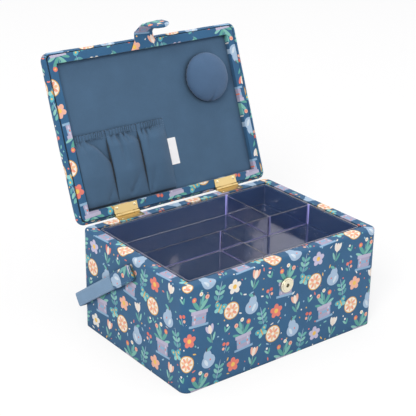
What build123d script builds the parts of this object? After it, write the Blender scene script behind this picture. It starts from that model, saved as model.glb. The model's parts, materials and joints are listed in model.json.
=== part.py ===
"""A fabric-covered sewing box with a padded lid, a lift-out tray and a swinging handle.

Millimetres, +Z up, +X to the right, the hinges at the back (+Y). The origin is the
centre of the underside. Lid pieces are drawn on the closed box and then turned open.
"""

from build123d import *
import os
from math import atan2, cos, degrees, radians, sin, sqrt

# overall sizes of the box body
BASE_WIDTH = 260.0
BASE_DEPTH = 187.0
BASE_HEIGHT = 116.5
CORNER_RADIUS = 8.8
RIM_EDGE_RADIUS = 3.0

# walls and linings
CLOTH = 1.0
WALL_BOARD = 10.0
FLOOR_BOARD = 3.0
LINING = 1.5
LINING_DROP = 3.0
RIM_FLAP = 14.0
BOTTOM_TURN_IN = 14.0
UNDERSIDE_CLEARANCE = 0.5

# lift-out tray
TRAY_HEIGHT = 25.5
TRAY_DROP = 0.5
TRAY_CLEARANCE = 0.7
TRAY_WALL = 1.5
TRAY_DIVIDER = 1.3
TRAY_DRAFT = 1.0
TRAY_CORNER = 4.0
TRAY_FLOOR_RADIUS = 1.5
TRAY_DIVIDER_DROP = 1.0
CROSS_DIVIDER_Y = 1.5
BACK_DIVIDER_X = 56.5
FRONT_DIVIDER_X = -12.0
LEDGE_THICK = 6.0
LEDGE_TALL = 14.0
LEDGE_END_GAP = 2.0

# lid
LID_WIDTH = 262.0
LID_DEPTH = 189.0
LID_CORNER = 9.0
LID_CROWN_RADIUS = 2450.0
LID_THICK = 15.5
LID_EDGE_RADIUS = 4.0
LID_EDGE_SETBACK = 0.5
LID_BOARD = 2.0
LID_BOARD_INSET = 5.5
LID_FRAME_WIDTH = 251.0
LID_FRAME_DEPTH = 182.0
LID_FRAME_STRIP = 9.5
LID_FRAME_HEIGHT = 7.5
LID_FRAME_CORNER = 6.0
LID_PANEL = 1.5
LID_GAP = 2.4
LID_CENTRE_Y = 1.75
LID_OPEN_ANGLE = 111.0

# hinges
HINGE_SPACING = 140.0
HINGE_LENGTH = 31.0
HINGE_AXIS_BEHIND = 1.5
HINGE_LEAF = 0.8
HINGE_LEAF_DEPTH = 11.5
KNUCKLE_RADIUS = 1.9
PIN_RADIUS = 0.9
PIN_CLEARANCE = 0.05
MIDDLE_KNUCKLE = 16.0
KNUCKLE_GAP = 0.3
SCREW_SPACING = 23.0
SCREW_IN_FROM_EDGE = 3.2
SCREW_SHANK_RADIUS = 0.8
SCREW_HEAD_RADIUS = 1.7
SCREW_LENGTH = 6.0

# pocket, pincushion and label inside the lid, measured from the hinge axis up the lid
POCKET_SEAMS_X = (-115.0, -72.5, -31.5, 5.2)
POCKET_LOW = 14.0
POCKET_TALL = 80.0
POCKET_DEPTH = 7.5
POCKET_CLOTH = 1.2
POCKET_SEAM = 2.0
POCKET_SEAM_THICK = 1.0
ELASTIC_THICK = 0.5
ELASTIC_TALL = 5.0
ELASTIC_DOWN = 1.5
PINCUSHION_X = 75.5
PINCUSHION_UP = 130.0
PINCUSHION_RADIUS = 28.5
PINCUSHION_SIDE_RADIUS = 6.5
PINCUSHION_BELLY_HEIGHT = 6.0
PINCUSHION_HEIGHT = 17.0
LABEL_WIDTH = 12.0
LABEL_TALL = 30.6
LABEL_LOW = 39.5
LABEL_THICK = 0.5

# closure tab, along its length from the fold at the lid's edge
TAB_WIDTH = 25.0
TAB_THICK = 2.6
TAB_ROOT_THICK = 1.4
TAB_ROOT_WIDE = 40.0
TAB_ROOT_NARROW = 27.0
TAB_FOLD_BEYOND = 9.25
TAB_CREASE = 21.0
TAB_CREASE_SLANT = 10.0
TAB_LENGTH = 45.0
TAB_FOLD_REST = 72.0
TAB_CREASE_REST = 38.0
TAB_ROLL_GAP = 0.3

# snap on the front wall and its stud in the tab
SNAP_HEIGHT = 85.0
SNAP_RADIUS = 8.25
SNAP_THICK = 2.4
SNAP_SKIN = 0.5
SNAP_HOLE_RADIUS = 2.1
SNAP_STEP_RADIUS = 6.3
SNAP_STEP = 0.5
MAGNET_RADIUS = 7.0
PRONG_WIDE = 2.6
PRONG_THICK = 0.4
PRONG_SPACING = 8.0
PRONG_FOLD = 4.0
WASHER_RADIUS = 7.5
WASHER_THICK = 0.6
STUD_PLATE = 1.0
STUD_POST_RADIUS = 1.7
STUD_POST = 1.8
SNAP_MEETING_GAP = 0.3

# handle
HANDLE_LENGTH = 122.0
HANDLE_REST_ANGLE = -35.2
HANDLE_PIVOT_Z = 98.0
HANDLE_BEND_RADIUS = 10.0
BAND_WIDTH = 15.5
BAND_THICK = 3.4
CORE_WIDTH = 12.5
CORE_THICK = 1.2
END_COVER_WIDTH = 17.2
END_COVER_CLOTH = 0.7
END_COVER_LENGTH = 42.0
END_BEYOND_PIVOT = 8.4
SPACER_RADIUS = 7.0
SPACER_THICK = 1.2
SPACER_GAP = 0.4
STUD_RADIUS = 2.0
STUD_RUNNING = 0.05
STUD_HEAD_RADIUS = 4.5
STUD_HEAD = 0.75
STUD_HEAD_GAP = 0.15
STUD_INNER_HEAD_RADIUS = 4.0
STUD_INNER_HEAD = 0.9

# places that follow from the sizes above
wall = CLOTH + WALL_BOARD + CLOTH
opening_width = BASE_WIDTH - 2 * wall
opening_depth = BASE_DEPTH - 2 * wall
room_width = opening_width - 2 * LINING
room_depth = opening_depth - 2 * LINING
board_inner_width = BASE_WIDTH - 2 * (CLOTH + WALL_BOARD)
board_inner_depth = BASE_DEPTH - 2 * (CLOTH + WALL_BOARD)
floor_top = CLOTH + FLOOR_BOARD
lining_floor_top = floor_top + LINING
tray_top = BASE_HEIGHT - TRAY_DROP
tray_bottom = tray_top - TRAY_HEIGHT
tray_width = room_width - 2 * TRAY_CLEARANCE
tray_depth = room_depth - 2 * TRAY_CLEARANCE

axis_y = BASE_DEPTH / 2 + HINGE_AXIS_BEHIND
axis_z = BASE_HEIGHT + LID_GAP / 2
lid_face_z = BASE_HEIGHT + LID_GAP
lid_board_z = lid_face_z + LID_FRAME_HEIGHT
lid_panel_z = lid_board_z - LID_PANEL
frame_opening_width = LID_FRAME_WIDTH - 2 * LID_FRAME_STRIP
frame_opening_depth = LID_FRAME_DEPTH - 2 * LID_FRAME_STRIP
frame_front_y = LID_CENTRE_Y - LID_FRAME_DEPTH / 2
tab_fold_y = frame_front_y - TAB_FOLD_BEYOND
front_y = -BASE_DEPTH / 2


def block(x_range, y_range, z_range):
    """A plain box between two values on each axis."""
    sizes = [high - low for low, high in (x_range, y_range, z_range)]
    middle = [(low + high) / 2 for low, high in (x_range, y_range, z_range)]
    return Pos(*middle) * Box(*sizes)


def slab(width, depth, low, high, radius=0.0, centre_y=0.0):
    """A flat-topped piece with rounded vertical corners, centred on the Z axis."""
    if radius > 0:
        outline = RectangleRounded(width, depth, radius)
    else:
        outline = Rectangle(width, depth)
    return Pos(0, centre_y, low) * extrude(outline, high - low)


def rod(start, direction, radius, length):
    """A round rod from a point along a direction."""
    return extrude(Plane(origin=start, z_dir=direction) * Circle(radius), length)


def top_edges(shape, height):
    """The edges of a piece that lie at one height."""
    return shape.edges().filter_by(Plane.XY).filter_by_position(
        Axis.Z, height - 0.01, height + 0.01
    )


def opened(shape):
    """A lid piece, drawn on the closed box, turned to the open lid."""
    hinge = Axis((0, axis_y, axis_z), (1, 0, 0))
    return shape.rotate(hinge, -LID_OPEN_ANGLE)


def up_the_lid(distance):
    """The closed lid's Y at a distance from the hinge axis."""
    return axis_y - distance


def rim_form(inset, low):
    """The outside of the box body, made smaller all round by an inset."""
    top = BASE_HEIGHT - inset
    form = slab(
        BASE_WIDTH - 2 * inset,
        BASE_DEPTH - 2 * inset,
        low,
        top,
        CORNER_RADIUS - inset,
    )
    return fillet(top_edges(form, top), RIM_EDGE_RADIUS - inset)


def base_boards():
    """The four wall boards, butted at the corners, and the floor board between them."""
    ring = rim_form(CLOTH, CLOTH)
    ring -= slab(board_inner_width, board_inner_depth, 0, BASE_HEIGHT)
    half_width = BASE_WIDTH / 2
    half_depth = BASE_DEPTH / 2
    side = (-board_inner_depth / 2, board_inner_depth / 2)
    tall = (0, BASE_HEIGHT)
    front = block((-half_width, half_width), (-half_depth, side[0]), tall)
    back = block((-half_width, half_width), (side[1], half_depth), tall)
    left = block((-half_width, -board_inner_width / 2), side, tall)
    right = block((board_inner_width / 2, half_width), side, tall)
    floor = slab(board_inner_width, board_inner_depth, CLOTH, floor_top)
    return {
        "board_front": ring & front,
        "board_back": ring & back,
        "board_left": ring & left,
        "board_right": ring & right,
        "floor_board": floor,
    }


def base_cover():
    """Printed cloth over the walls and the rim, turned in at the top and the bottom."""
    cover = rim_form(0, 0)
    cover -= rim_form(CLOTH, CLOTH)
    cover -= slab(opening_width, opening_depth, -1, BASE_HEIGHT + 1)
    cover -= slab(
        BASE_WIDTH - 2 * BOTTOM_TURN_IN, BASE_DEPTH - 2 * BOTTOM_TURN_IN, -1, CLOTH
    )
    flap = slab(board_inner_width, board_inner_depth, BASE_HEIGHT - RIM_FLAP, BASE_HEIGHT)
    flap -= slab(opening_width, opening_depth, 0, BASE_HEIGHT + 1)
    return cover + flap


def base_linings():
    """Plain cloth-covered cards on the floor and the four walls, and the underside card."""
    half_width = opening_width / 2
    half_depth = opening_depth / 2
    inner_half = room_depth / 2
    tall = (lining_floor_top, BASE_HEIGHT - LINING_DROP)
    wide = (-half_width, half_width)
    side = (-inner_half, inner_half)
    clear = BOTTOM_TURN_IN + UNDERSIDE_CLEARANCE
    return {
        "lining_floor": slab(
            board_inner_width, board_inner_depth, floor_top, lining_floor_top
        ),
        "lining_front": block(wide, (-half_depth, -inner_half), tall),
        "lining_back": block(wide, (inner_half, half_depth), tall),
        "lining_left": block((-half_width, -room_width / 2), side, tall),
        "lining_right": block((room_width / 2, half_width), side, tall),
        "underside_panel": slab(
            BASE_WIDTH - 2 * clear, BASE_DEPTH - 2 * clear, 0, CLOTH
        ),
    }


def tray_ledges():
    """Two strips on the short sides that the tray stands on."""
    along = room_depth / 2 - LEDGE_END_GAP
    tall = (tray_bottom - LEDGE_TALL, tray_bottom)
    outer = room_width / 2
    inner = outer - LEDGE_THICK
    return {
        "tray_ledge_left": block((-outer, -inner), (-along, along), tall),
        "tray_ledge_right": block((inner, outer), (-along, along), tall),
    }


def tapered(x_range, y_range, low, high, radius, draft):
    """A moulded form that narrows by the draft on each side towards its foot."""
    middle_x = sum(x_range) / 2
    middle_y = sum(y_range) / 2
    wide = x_range[1] - x_range[0]
    deep = y_range[1] - y_range[0]
    foot = RectangleRounded(wide - 2 * draft, deep - 2 * draft, radius)
    mouth = RectangleRounded(wide, deep, radius)
    return loft([Pos(middle_x, middle_y, low) * foot, Pos(middle_x, middle_y, high) * mouth])


def tray():
    """The clear moulded tray: one cross divider and two offset ones, four wells."""
    half_width = tray_width / 2
    half_depth = tray_depth / 2
    body = tapered(
        (-half_width, half_width),
        (-half_depth, half_depth),
        tray_bottom,
        tray_top,
        TRAY_CORNER,
        TRAY_DRAFT,
    )
    half_divider = TRAY_DIVIDER / 2
    inner_x = half_width - TRAY_WALL
    inner_y = half_depth - TRAY_WALL
    back = (CROSS_DIVIDER_Y + half_divider, inner_y)
    front = (-inner_y, CROSS_DIVIDER_Y - half_divider)
    wells = [
        ((-inner_x, BACK_DIVIDER_X - half_divider), back),
        ((BACK_DIVIDER_X + half_divider, inner_x), back),
        ((-inner_x, FRONT_DIVIDER_X - half_divider), front),
        ((FRONT_DIVIDER_X + half_divider, inner_x), front),
    ]
    floor = tray_bottom + TRAY_WALL
    for x_range, y_range in wells:
        well = tapered(
            x_range, y_range, floor, tray_top, TRAY_FLOOR_RADIUS, TRAY_DRAFT / 2
        )
        body -= fillet(top_edges(well, floor), TRAY_FLOOR_RADIUS / 2)
    lowered = slab(
        2 * inner_x - TRAY_DRAFT,
        2 * inner_y - TRAY_DRAFT,
        tray_top - TRAY_DIVIDER_DROP,
        tray_top + 1,
        TRAY_CORNER,
    )
    return body - lowered


def lid_form(inset):
    """The padded lid's outside, crowned from left to right, made smaller by an inset."""
    low = lid_face_z + LID_EDGE_SETBACK + inset
    top = lid_face_z + LID_THICK - inset
    crown = LID_CROWN_RADIUS - inset
    form = slab(
        LID_WIDTH - 2 * inset,
        LID_DEPTH - 2 * inset,
        low,
        top + 1,
        LID_CORNER - inset,
        LID_CENTRE_Y,
    )
    barrel = Rot(90, 0, 0) * Cylinder(crown, 2 * LID_DEPTH)
    form &= Pos(0, LID_CENTRE_Y, top - crown) * barrel
    crowned = form.faces().filter_by(GeomType.CYLINDER).sort_by(SortBy.AREA)[-1]
    form = fillet(crowned.edges(), LID_EDGE_RADIUS - inset)
    return fillet(top_edges(form, low), LID_EDGE_RADIUS - inset)


def lid_shell():
    """The lid's board, the padding round it and the printed cloth over both."""
    frame_room = slab(
        LID_FRAME_WIDTH,
        LID_FRAME_DEPTH,
        lid_face_z - 1,
        lid_board_z,
        LID_FRAME_CORNER,
        LID_CENTRE_Y,
    )
    board = slab(
        LID_FRAME_WIDTH - 2 * LID_BOARD_INSET,
        LID_FRAME_DEPTH - 2 * LID_BOARD_INSET,
        lid_board_z,
        lid_board_z + LID_BOARD,
        LID_FRAME_CORNER,
        LID_CENTRE_Y,
    )
    inner = lid_form(CLOTH)
    return {
        "lid_board": board,
        "lid_padding": inner - board - frame_room,
        "lid_cover": lid_form(0) - inner - frame_room,
    }


def lid_frame():
    """The frame under the lid: four strips, the printed cloth round them, the lining."""
    top = lid_board_z
    core_inset = 2 * CLOTH
    low = lid_face_z + CLOTH
    y = LID_CENTRE_Y
    core_opening_width = frame_opening_width + core_inset
    core_opening_depth = frame_opening_depth + core_inset
    core = slab(
        LID_FRAME_WIDTH - core_inset,
        LID_FRAME_DEPTH - core_inset,
        low,
        top,
        LID_FRAME_CORNER - CLOTH,
        y,
    )
    core -= slab(core_opening_width, core_opening_depth, low - 1, top + 1, 0, y)
    cover = slab(
        LID_FRAME_WIDTH, LID_FRAME_DEPTH, lid_face_z, top, LID_FRAME_CORNER, y
    )
    cover = fillet(top_edges(cover, lid_face_z), CLOTH * 0.8)
    cover -= slab(frame_opening_width, frame_opening_depth, low - 2, top + 1, 0, y)
    cover -= core
    wide = (-LID_FRAME_WIDTH / 2, LID_FRAME_WIDTH / 2)
    tall = (low - 1, top + 1)
    side = (y - core_opening_depth / 2, y + core_opening_depth / 2)
    front_end = y - LID_FRAME_DEPTH / 2
    back_end = y + LID_FRAME_DEPTH / 2
    half_opening = core_opening_width / 2
    return {
        "lid_frame_front": core & block(wide, (front_end, side[0]), tall),
        "lid_frame_back": core & block(wide, (side[1], back_end), tall),
        "lid_frame_left": core & block((wide[0], -half_opening), side, tall),
        "lid_frame_right": core & block((half_opening, wide[1]), side, tall),
        "lid_rim_cover": cover,
        "lid_lining": slab(
            frame_opening_width, frame_opening_depth, lid_panel_z, top, 0, y
        ),
    }


def knuckles(middle_x, own_middle):
    """One leaf's knuckles as a list of X ranges: the middle one or the two outer ones."""
    half = HINGE_LENGTH / 2
    half_middle = MIDDLE_KNUCKLE / 2
    if own_middle:
        return [(middle_x - half_middle, middle_x + half_middle)]
    inner = half_middle + KNUCKLE_GAP
    return [(middle_x - half, middle_x - inner), (middle_x + inner, middle_x + half)]


def hinge_leaf(middle_x, own_middle, low):
    """A flat leaf with its knuckles, bored for the pin."""
    half = HINGE_LENGTH / 2
    bore = PIN_RADIUS + PIN_CLEARANCE if own_middle else PIN_RADIUS
    back = axis_y - KNUCKLE_RADIUS - KNUCKLE_GAP
    front = axis_y - HINGE_LEAF_DEPTH
    level = (low, low + HINGE_LEAF)
    leaf = block((middle_x - half, middle_x + half), (front, back), level)
    for start, end in knuckles(middle_x, own_middle):
        leaf += block((start, end), (back, axis_y), level)
        leaf += rod((start, axis_y, axis_z), (1, 0, 0), KNUCKLE_RADIUS, end - start)
    return leaf - rod(
        (middle_x - HINGE_LENGTH, axis_y, axis_z), (1, 0, 0), bore, 2 * HINGE_LENGTH
    )


def screw(x, y, face_z, into):
    """A flush countersunk screw whose head is at face_z; into is +1 up or -1 down."""
    direction = (0, 0, into)
    shank = rod((x, y, face_z), direction, SCREW_SHANK_RADIUS, SCREW_LENGTH)
    side = Plane(origin=(x, y, face_z), z_dir=direction)
    head = extrude(
        side * Circle(SCREW_HEAD_RADIUS), HINGE_LEAF, taper=48.3
    )
    return shank + head


def hinges():
    """Two butt hinges: leaves on the mating faces, the pin behind the edge."""
    pieces = {}
    lid_screws = []
    base_screws = []
    screw_y = axis_y - HINGE_LEAF_DEPTH + SCREW_IN_FROM_EDGE
    for side, sign in (("left", -1), ("right", 1)):
        middle = sign * HINGE_SPACING / 2
        base_leaf = hinge_leaf(middle, False, BASE_HEIGHT)
        lid_leaf = hinge_leaf(middle, True, lid_face_z - HINGE_LEAF)
        for step in (-0.5, 0.5):
            x = middle + step * SCREW_SPACING
            base_screws.append(screw(x, screw_y, BASE_HEIGHT + HINGE_LEAF, -1))
            lid_screws.append(screw(x, screw_y, lid_face_z - HINGE_LEAF, 1))
            base_leaf -= base_screws[-1]
            lid_leaf -= lid_screws[-1]
        pieces[f"hinge_{side}_base_leaf"] = base_leaf
        pieces[f"hinge_{side}_lid_leaf"] = lid_leaf
        pieces[f"hinge_{side}_pin"] = rod(
            (middle - HINGE_LENGTH / 2, axis_y, axis_z), (1, 0, 0), PIN_RADIUS, HINGE_LENGTH
        )
    pieces["hinge_screws_base"] = Compound(children=base_screws)
    pieces["hinge_screws_lid"] = Compound(children=lid_screws)
    return pieces


def lobe_wire(start, end, inset, depth):
    """One pocket's bulge in section: its chord on the lining and an arc away from it."""
    first = (start + inset, 0)
    last = (end - inset, 0)
    crest = ((start + end) / 2, -depth + inset)
    arc = ThreePointArc(first, crest, last)
    return make_face(arc + Line(last, first))


def pocket_section(inset, depth):
    """The pockets' filled section in X and Z, with the lining's face at Z = 0."""
    section = None
    for start, end in zip(POCKET_SEAMS_X, POCKET_SEAMS_X[1:]):
        lobe = lobe_wire(start + POCKET_SEAM / 2, end - POCKET_SEAM / 2, inset, depth)
        section = lobe if section is None else section + lobe
    return section


def along_the_lid(section, low, tall):
    """Extrudes a section in X and Z up the lid, from a distance off the hinge axis."""
    place = Plane(
        origin=(0, up_the_lid(low), lid_panel_z), x_dir=(1, 0, 0), z_dir=(0, -1, 0)
    )
    return extrude(place * section, tall)


def pocket():
    """The pockets' cloth with a closed foot, and the elastic in its top edge."""
    outer = along_the_lid(pocket_section(0, POCKET_DEPTH), POCKET_LOW, POCKET_TALL)
    hollow = along_the_lid(
        pocket_section(POCKET_CLOTH, POCKET_DEPTH),
        POCKET_LOW + POCKET_CLOTH,
        POCKET_TALL,
    )
    cloth = outer - hollow
    y_range = (up_the_lid(POCKET_LOW + POCKET_TALL), up_the_lid(POCKET_LOW))
    level = (lid_panel_z - POCKET_SEAM_THICK, lid_panel_z)
    for seam in POCKET_SEAMS_X:
        low = seam - POCKET_SEAM
        high = seam + POCKET_SEAM
        if seam == POCKET_SEAMS_X[0]:
            low = seam
        if seam == POCKET_SEAMS_X[-1]:
            high = seam
        cloth += block((low, high), y_range, level) - hollow
    skin = (POCKET_CLOTH - ELASTIC_THICK) / 2
    start = POCKET_LOW + POCKET_TALL - ELASTIC_DOWN - ELASTIC_TALL
    elastic = along_the_lid(pocket_section(skin, POCKET_DEPTH), start, ELASTIC_TALL)
    elastic -= along_the_lid(
        pocket_section(skin + ELASTIC_THICK, POCKET_DEPTH), start, ELASTIC_TALL
    )
    trim = (lid_panel_z - POCKET_SEAM_THICK, lid_panel_z + 1)
    wide = (POCKET_SEAMS_X[0] - 1, POCKET_SEAMS_X[-1] + 1)
    elastic -= block(wide, y_range, trim)
    return {"pocket_cloth": cloth - elastic, "pocket_elastic": elastic}


def cushion_profile(inset):
    """Half of the pincushion's section: a drawn-in foot, a round side and a low dome."""
    side_x = PINCUSHION_RADIUS - PINCUSHION_SIDE_RADIUS
    side_z = PINCUSHION_BELLY_HEIGHT
    side = PINCUSHION_SIDE_RADIUS
    rise = PINCUSHION_HEIGHT - side_z
    dome = (side_x**2 + rise**2 - side**2) / (2 * (rise - side))
    slope = degrees(atan2(dome - rise, side_x))
    foot_x = side_x + sqrt((side - inset) ** 2 - (side_z - inset) ** 2)
    sweep = slope + degrees(atan2(side_z - inset, foot_x - side_x))
    lower = CenterArc((side_x, side_z), side - inset, slope, -sweep)
    upper = CenterArc((0, PINCUSHION_HEIGHT - dome), dome - inset, slope, 90 - slope)
    bottom = Line(lower @ 1, (0, inset))
    centre = Line((0, inset), upper @ 1)
    return make_face(lower + upper + bottom + centre)


def pincushion():
    """The round pincushion, sewn to the lid's lining: cloth over its filling."""
    place = Pos(PINCUSHION_X, up_the_lid(PINCUSHION_UP), lid_panel_z) * Rot(180, 0, 0)
    outer = place * revolve(Plane.XZ * cushion_profile(0), Axis.Z)
    inner = place * revolve(Plane.XZ * cushion_profile(CLOTH), Axis.Z)
    return {"pincushion_cloth": outer - inner, "pincushion_filling": inner}


def label():
    """The blank tab sewn into the pocket's right seam."""
    start = POCKET_SEAMS_X[-1]
    return block(
        (start, start + LABEL_WIDTH),
        (up_the_lid(LABEL_LOW + LABEL_TALL), up_the_lid(LABEL_LOW)),
        (lid_panel_z - LABEL_THICK, lid_panel_z),
    )


def tab_root():
    """The tab's root strip on the frame's face, flared towards the lining."""
    inner_y = frame_front_y + LID_FRAME_STRIP
    end_y = tab_fold_y + TAB_THICK / 2 + TAB_ROLL_GAP
    half_wide = TAB_ROOT_WIDE / 2
    half_narrow = TAB_ROOT_NARROW / 2
    half_tab = TAB_WIDTH / 2
    outline = Polyline(
        (-half_wide, inner_y),
        (-half_narrow, frame_front_y),
        (-half_tab, end_y),
        (half_tab, end_y),
        (half_narrow, frame_front_y),
        (half_wide, inner_y),
        close=True,
    )
    return Pos(0, 0, lid_face_z - TAB_ROOT_THICK) * extrude(
        make_face(outline), TAB_ROOT_THICK
    )


def crease_plane_line(distance):
    """Two points of the slanting crease, shifted along the tab, in tab X and length."""
    rise = TAB_WIDTH / 2 * sin(radians(TAB_CREASE_SLANT)) / cos(radians(TAB_CREASE_SLANT))
    middle = TAB_CREASE + distance
    return (-TAB_WIDTH / 2, middle - rise), (TAB_WIDTH / 2, middle + rise)


def tab_plate(outline):
    """A plate of the tab's thickness hanging down from the fold of the closed lid."""
    place = Plane(
        origin=(0, tab_fold_y + TAB_THICK / 2, axis_z), x_dir=(1, 0, 0), z_dir=(0, 1, 0)
    )
    mirrored = [(x, -length) for x, length in outline]
    face = make_face(Polyline(*mirrored, close=True))
    flat = Plane(origin=place.origin, x_dir=(1, 0, 0), z_dir=(0, -1, 0))
    return extrude(flat * face, TAB_THICK)


def crease_point(x, length):
    """A point of the hanging tab's middle plane."""
    return Vector(x, tab_fold_y, axis_z - length)


def tab_strap():
    """The tab's first stretch: rolled at the lid's edge, slanted at the crease."""
    half = TAB_WIDTH / 2
    roll = TAB_THICK / 2
    left, right = crease_plane_line(-(roll + TAB_ROLL_GAP) / cos(radians(TAB_CREASE_SLANT)))
    plate = tab_plate([(-half, 0), (half, 0), right, left])
    return plate + rod((-half, tab_fold_y, axis_z), (1, 0, 0), roll, TAB_WIDTH)


def tab_end():
    """The tab's round end, rolled along the crease."""
    half = TAB_WIDTH / 2
    roll = TAB_THICK / 2
    left, right = crease_plane_line(0)
    straight = TAB_LENGTH - half
    plate = tab_plate([left, right, (half, straight), (-half, straight)])
    tip = rod(
        (0, tab_fold_y - roll, axis_z - straight), (0, 1, 0), half, TAB_THICK
    )
    tip &= block(
        (-half, half),
        (tab_fold_y - TAB_THICK, tab_fold_y + TAB_THICK),
        (axis_z - TAB_LENGTH, axis_z - straight),
    )
    start = crease_point(*left)
    edge = crease_point(*right) - start
    rolled = rod(tuple(start), tuple(edge.normalized()), roll, edge.length)
    trim = block(
        (-half, half),
        (tab_fold_y - TAB_THICK, tab_fold_y + TAB_THICK),
        (axis_z - 2 * TAB_LENGTH, axis_z),
    )
    return (plate + tip + rolled) & trim


def snap_tab_pieces():
    """The tab's end with the snap stud on it and the stud's washer sealed inside."""
    end = tab_end()
    inner_y = tab_fold_y + TAB_THICK / 2
    middle = (0, inner_y, SNAP_HEIGHT)
    stud = rod(middle, (0, 1, 0), SNAP_RADIUS, STUD_PLATE)
    rim = stud.edges().filter_by(GeomType.CIRCLE).sort_by(Axis.Y)[-1]
    stud = fillet(rim, STUD_PLATE / 2)
    stud += rod(middle, (0, 1, 0), STUD_POST_RADIUS, STUD_PLATE + STUD_POST)
    washer_y = tab_fold_y - WASHER_THICK / 2
    for sign in (-1, 1):
        x = sign * PRONG_SPACING / 2
        stud += block(
            (x - PRONG_THICK / 2, x + PRONG_THICK / 2),
            (washer_y + WASHER_THICK, inner_y),
            (SNAP_HEIGHT - PRONG_WIDE / 2, SNAP_HEIGHT + PRONG_WIDE / 2),
        )
    washer = rod((0, washer_y, SNAP_HEIGHT), (0, 1, 0), WASHER_RADIUS, WASHER_THICK)
    return {
        "tab_end": end - stud - washer,
        "snap_stud": stud,
        "stud_washer": washer,
    }


def snap_socket():
    """The stepped round socket on the front, its magnet, prongs and washer."""
    back = (0, front_y, SNAP_HEIGHT)
    out = (0, -1, 0)
    housing = rod(back, out, SNAP_RADIUS, SNAP_THICK - SNAP_STEP)
    housing = fillet(
        housing.edges().filter_by(GeomType.CIRCLE).sort_by(Axis.Y)[0], SNAP_SKIN
    )
    raised = rod(back, out, SNAP_STEP_RADIUS, SNAP_THICK)
    housing += fillet(
        raised.edges().filter_by(GeomType.CIRCLE).sort_by(Axis.Y)[0], SNAP_SKIN / 2
    )
    magnet_start = (0, front_y - SNAP_SKIN, SNAP_HEIGHT)
    magnet_long = SNAP_THICK - SNAP_STEP - 2 * SNAP_SKIN
    magnet = rod(magnet_start, out, MAGNET_RADIUS, magnet_long)
    magnet -= rod(magnet_start, out, SNAP_HOLE_RADIUS + SNAP_SKIN, magnet_long)
    hole = rod(
        (0, front_y - SNAP_SKIN, SNAP_HEIGHT), out, SNAP_HOLE_RADIUS, SNAP_THICK
    )
    housing = housing - hole - magnet
    board_back = front_y + CLOTH + WALL_BOARD
    fold_low = board_back + WASHER_THICK
    washer = rod((0, board_back, SNAP_HEIGHT), (0, 1, 0), WASHER_RADIUS, WASHER_THICK)
    tall = (SNAP_HEIGHT - PRONG_WIDE / 2, SNAP_HEIGHT + PRONG_WIDE / 2)
    for sign in (-1, 1):
        x = sign * PRONG_SPACING / 2
        shank = block(
            (x - PRONG_THICK / 2, x + PRONG_THICK / 2),
            (front_y, fold_low + PRONG_THICK),
            tall,
        )
        ends = sorted((x - sign * PRONG_THICK / 2, x + sign * PRONG_FOLD / 2))
        housing += shank + block(ends, (fold_low, fold_low + PRONG_THICK), tall)
    return {
        "snap_socket": housing,
        "snap_magnet": magnet,
        "snap_washer": washer - housing,
    }


def handle_u(thick, width, start, end_length=None):
    """A U-shaped band in the handle's own frame: pivots at Y = 0, cross bar at +Y."""
    half = handle_middle_x
    outer_half = half + thick / 2
    inner_half = half - thick / 2
    reach_out = HANDLE_LENGTH + thick / 2
    reach_in = HANDLE_LENGTH - thick / 2
    outer = Polyline(
        (-outer_half, start), (-outer_half, reach_out), (outer_half, reach_out),
        (outer_half, start), close=True,
    )
    inner = Polyline(
        (-inner_half, start - 1), (-inner_half, reach_in), (inner_half, reach_in),
        (inner_half, start - 1), close=True,
    )
    outer_face = make_face(outer)
    far_outer = outer_face.vertices().sort_by(Axis.Y)[-2:]
    outer_face = fillet(far_outer, HANDLE_BEND_RADIUS + thick / 2)
    inner_face = make_face(inner)
    far_inner = inner_face.vertices().sort_by(Axis.Y)[-2:]
    inner_face = fillet(far_inner, HANDLE_BEND_RADIUS - thick / 2)
    band = outer_face - inner_face
    if end_length is not None:
        band &= Pos(0, start + end_length / 2) * Rectangle(4 * half, end_length)
    return Pos(0, 0, -width / 2) * extrude(band, width)


def swung(shape):
    """A handle piece turned to rest on the back wall and moved to its pivots."""
    turned = shape.rotate(Axis.X, HANDLE_REST_ANGLE)
    return Pos(0, 0, HANDLE_PIVOT_Z) * turned


end_thick = BAND_THICK + 2 * END_COVER_CLOTH
handle_middle_x = (
    BASE_WIDTH / 2 + SPACER_THICK + SPACER_GAP + END_COVER_CLOTH + BAND_THICK / 2
)
core_outer_x = handle_middle_x + CORE_THICK / 2


def handle():
    """Stiff core, plain band and two printed end covers, free on the pivot studs."""
    start = -END_BEYOND_PIVOT
    core = handle_u(CORE_THICK, CORE_WIDTH, start + 2 * END_COVER_CLOTH)
    band = handle_u(BAND_THICK, BAND_WIDTH, start + END_COVER_CLOTH)
    ends = handle_u(end_thick, END_COVER_WIDTH, start, END_COVER_LENGTH)
    ends -= band
    band -= core
    bore = STUD_RADIUS + STUD_RUNNING
    head_room = STUD_HEAD_RADIUS + 2 * STUD_HEAD_GAP
    span = handle_middle_x + end_thick
    through = rod((-span, 0, 0), (1, 0, 0), bore, 2 * span)
    through &= block(
        (-core_outer_x, core_outer_x), (-span, span), (-span, span)
    )
    core -= through
    band -= through
    ends -= through
    for sign in (-1, 1):
        outer_skin = (BAND_THICK - CORE_THICK) / 2
        band -= rod((sign * core_outer_x, 0, 0), (sign, 0, 0), head_room, outer_skin)
    left, right = ends.solids().sort_by(Axis.X)
    return {
        "handle_core": swung(core),
        "handle_band": swung(band),
        "handle_end_left": swung(left),
        "handle_end_right": swung(right),
    }


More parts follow.
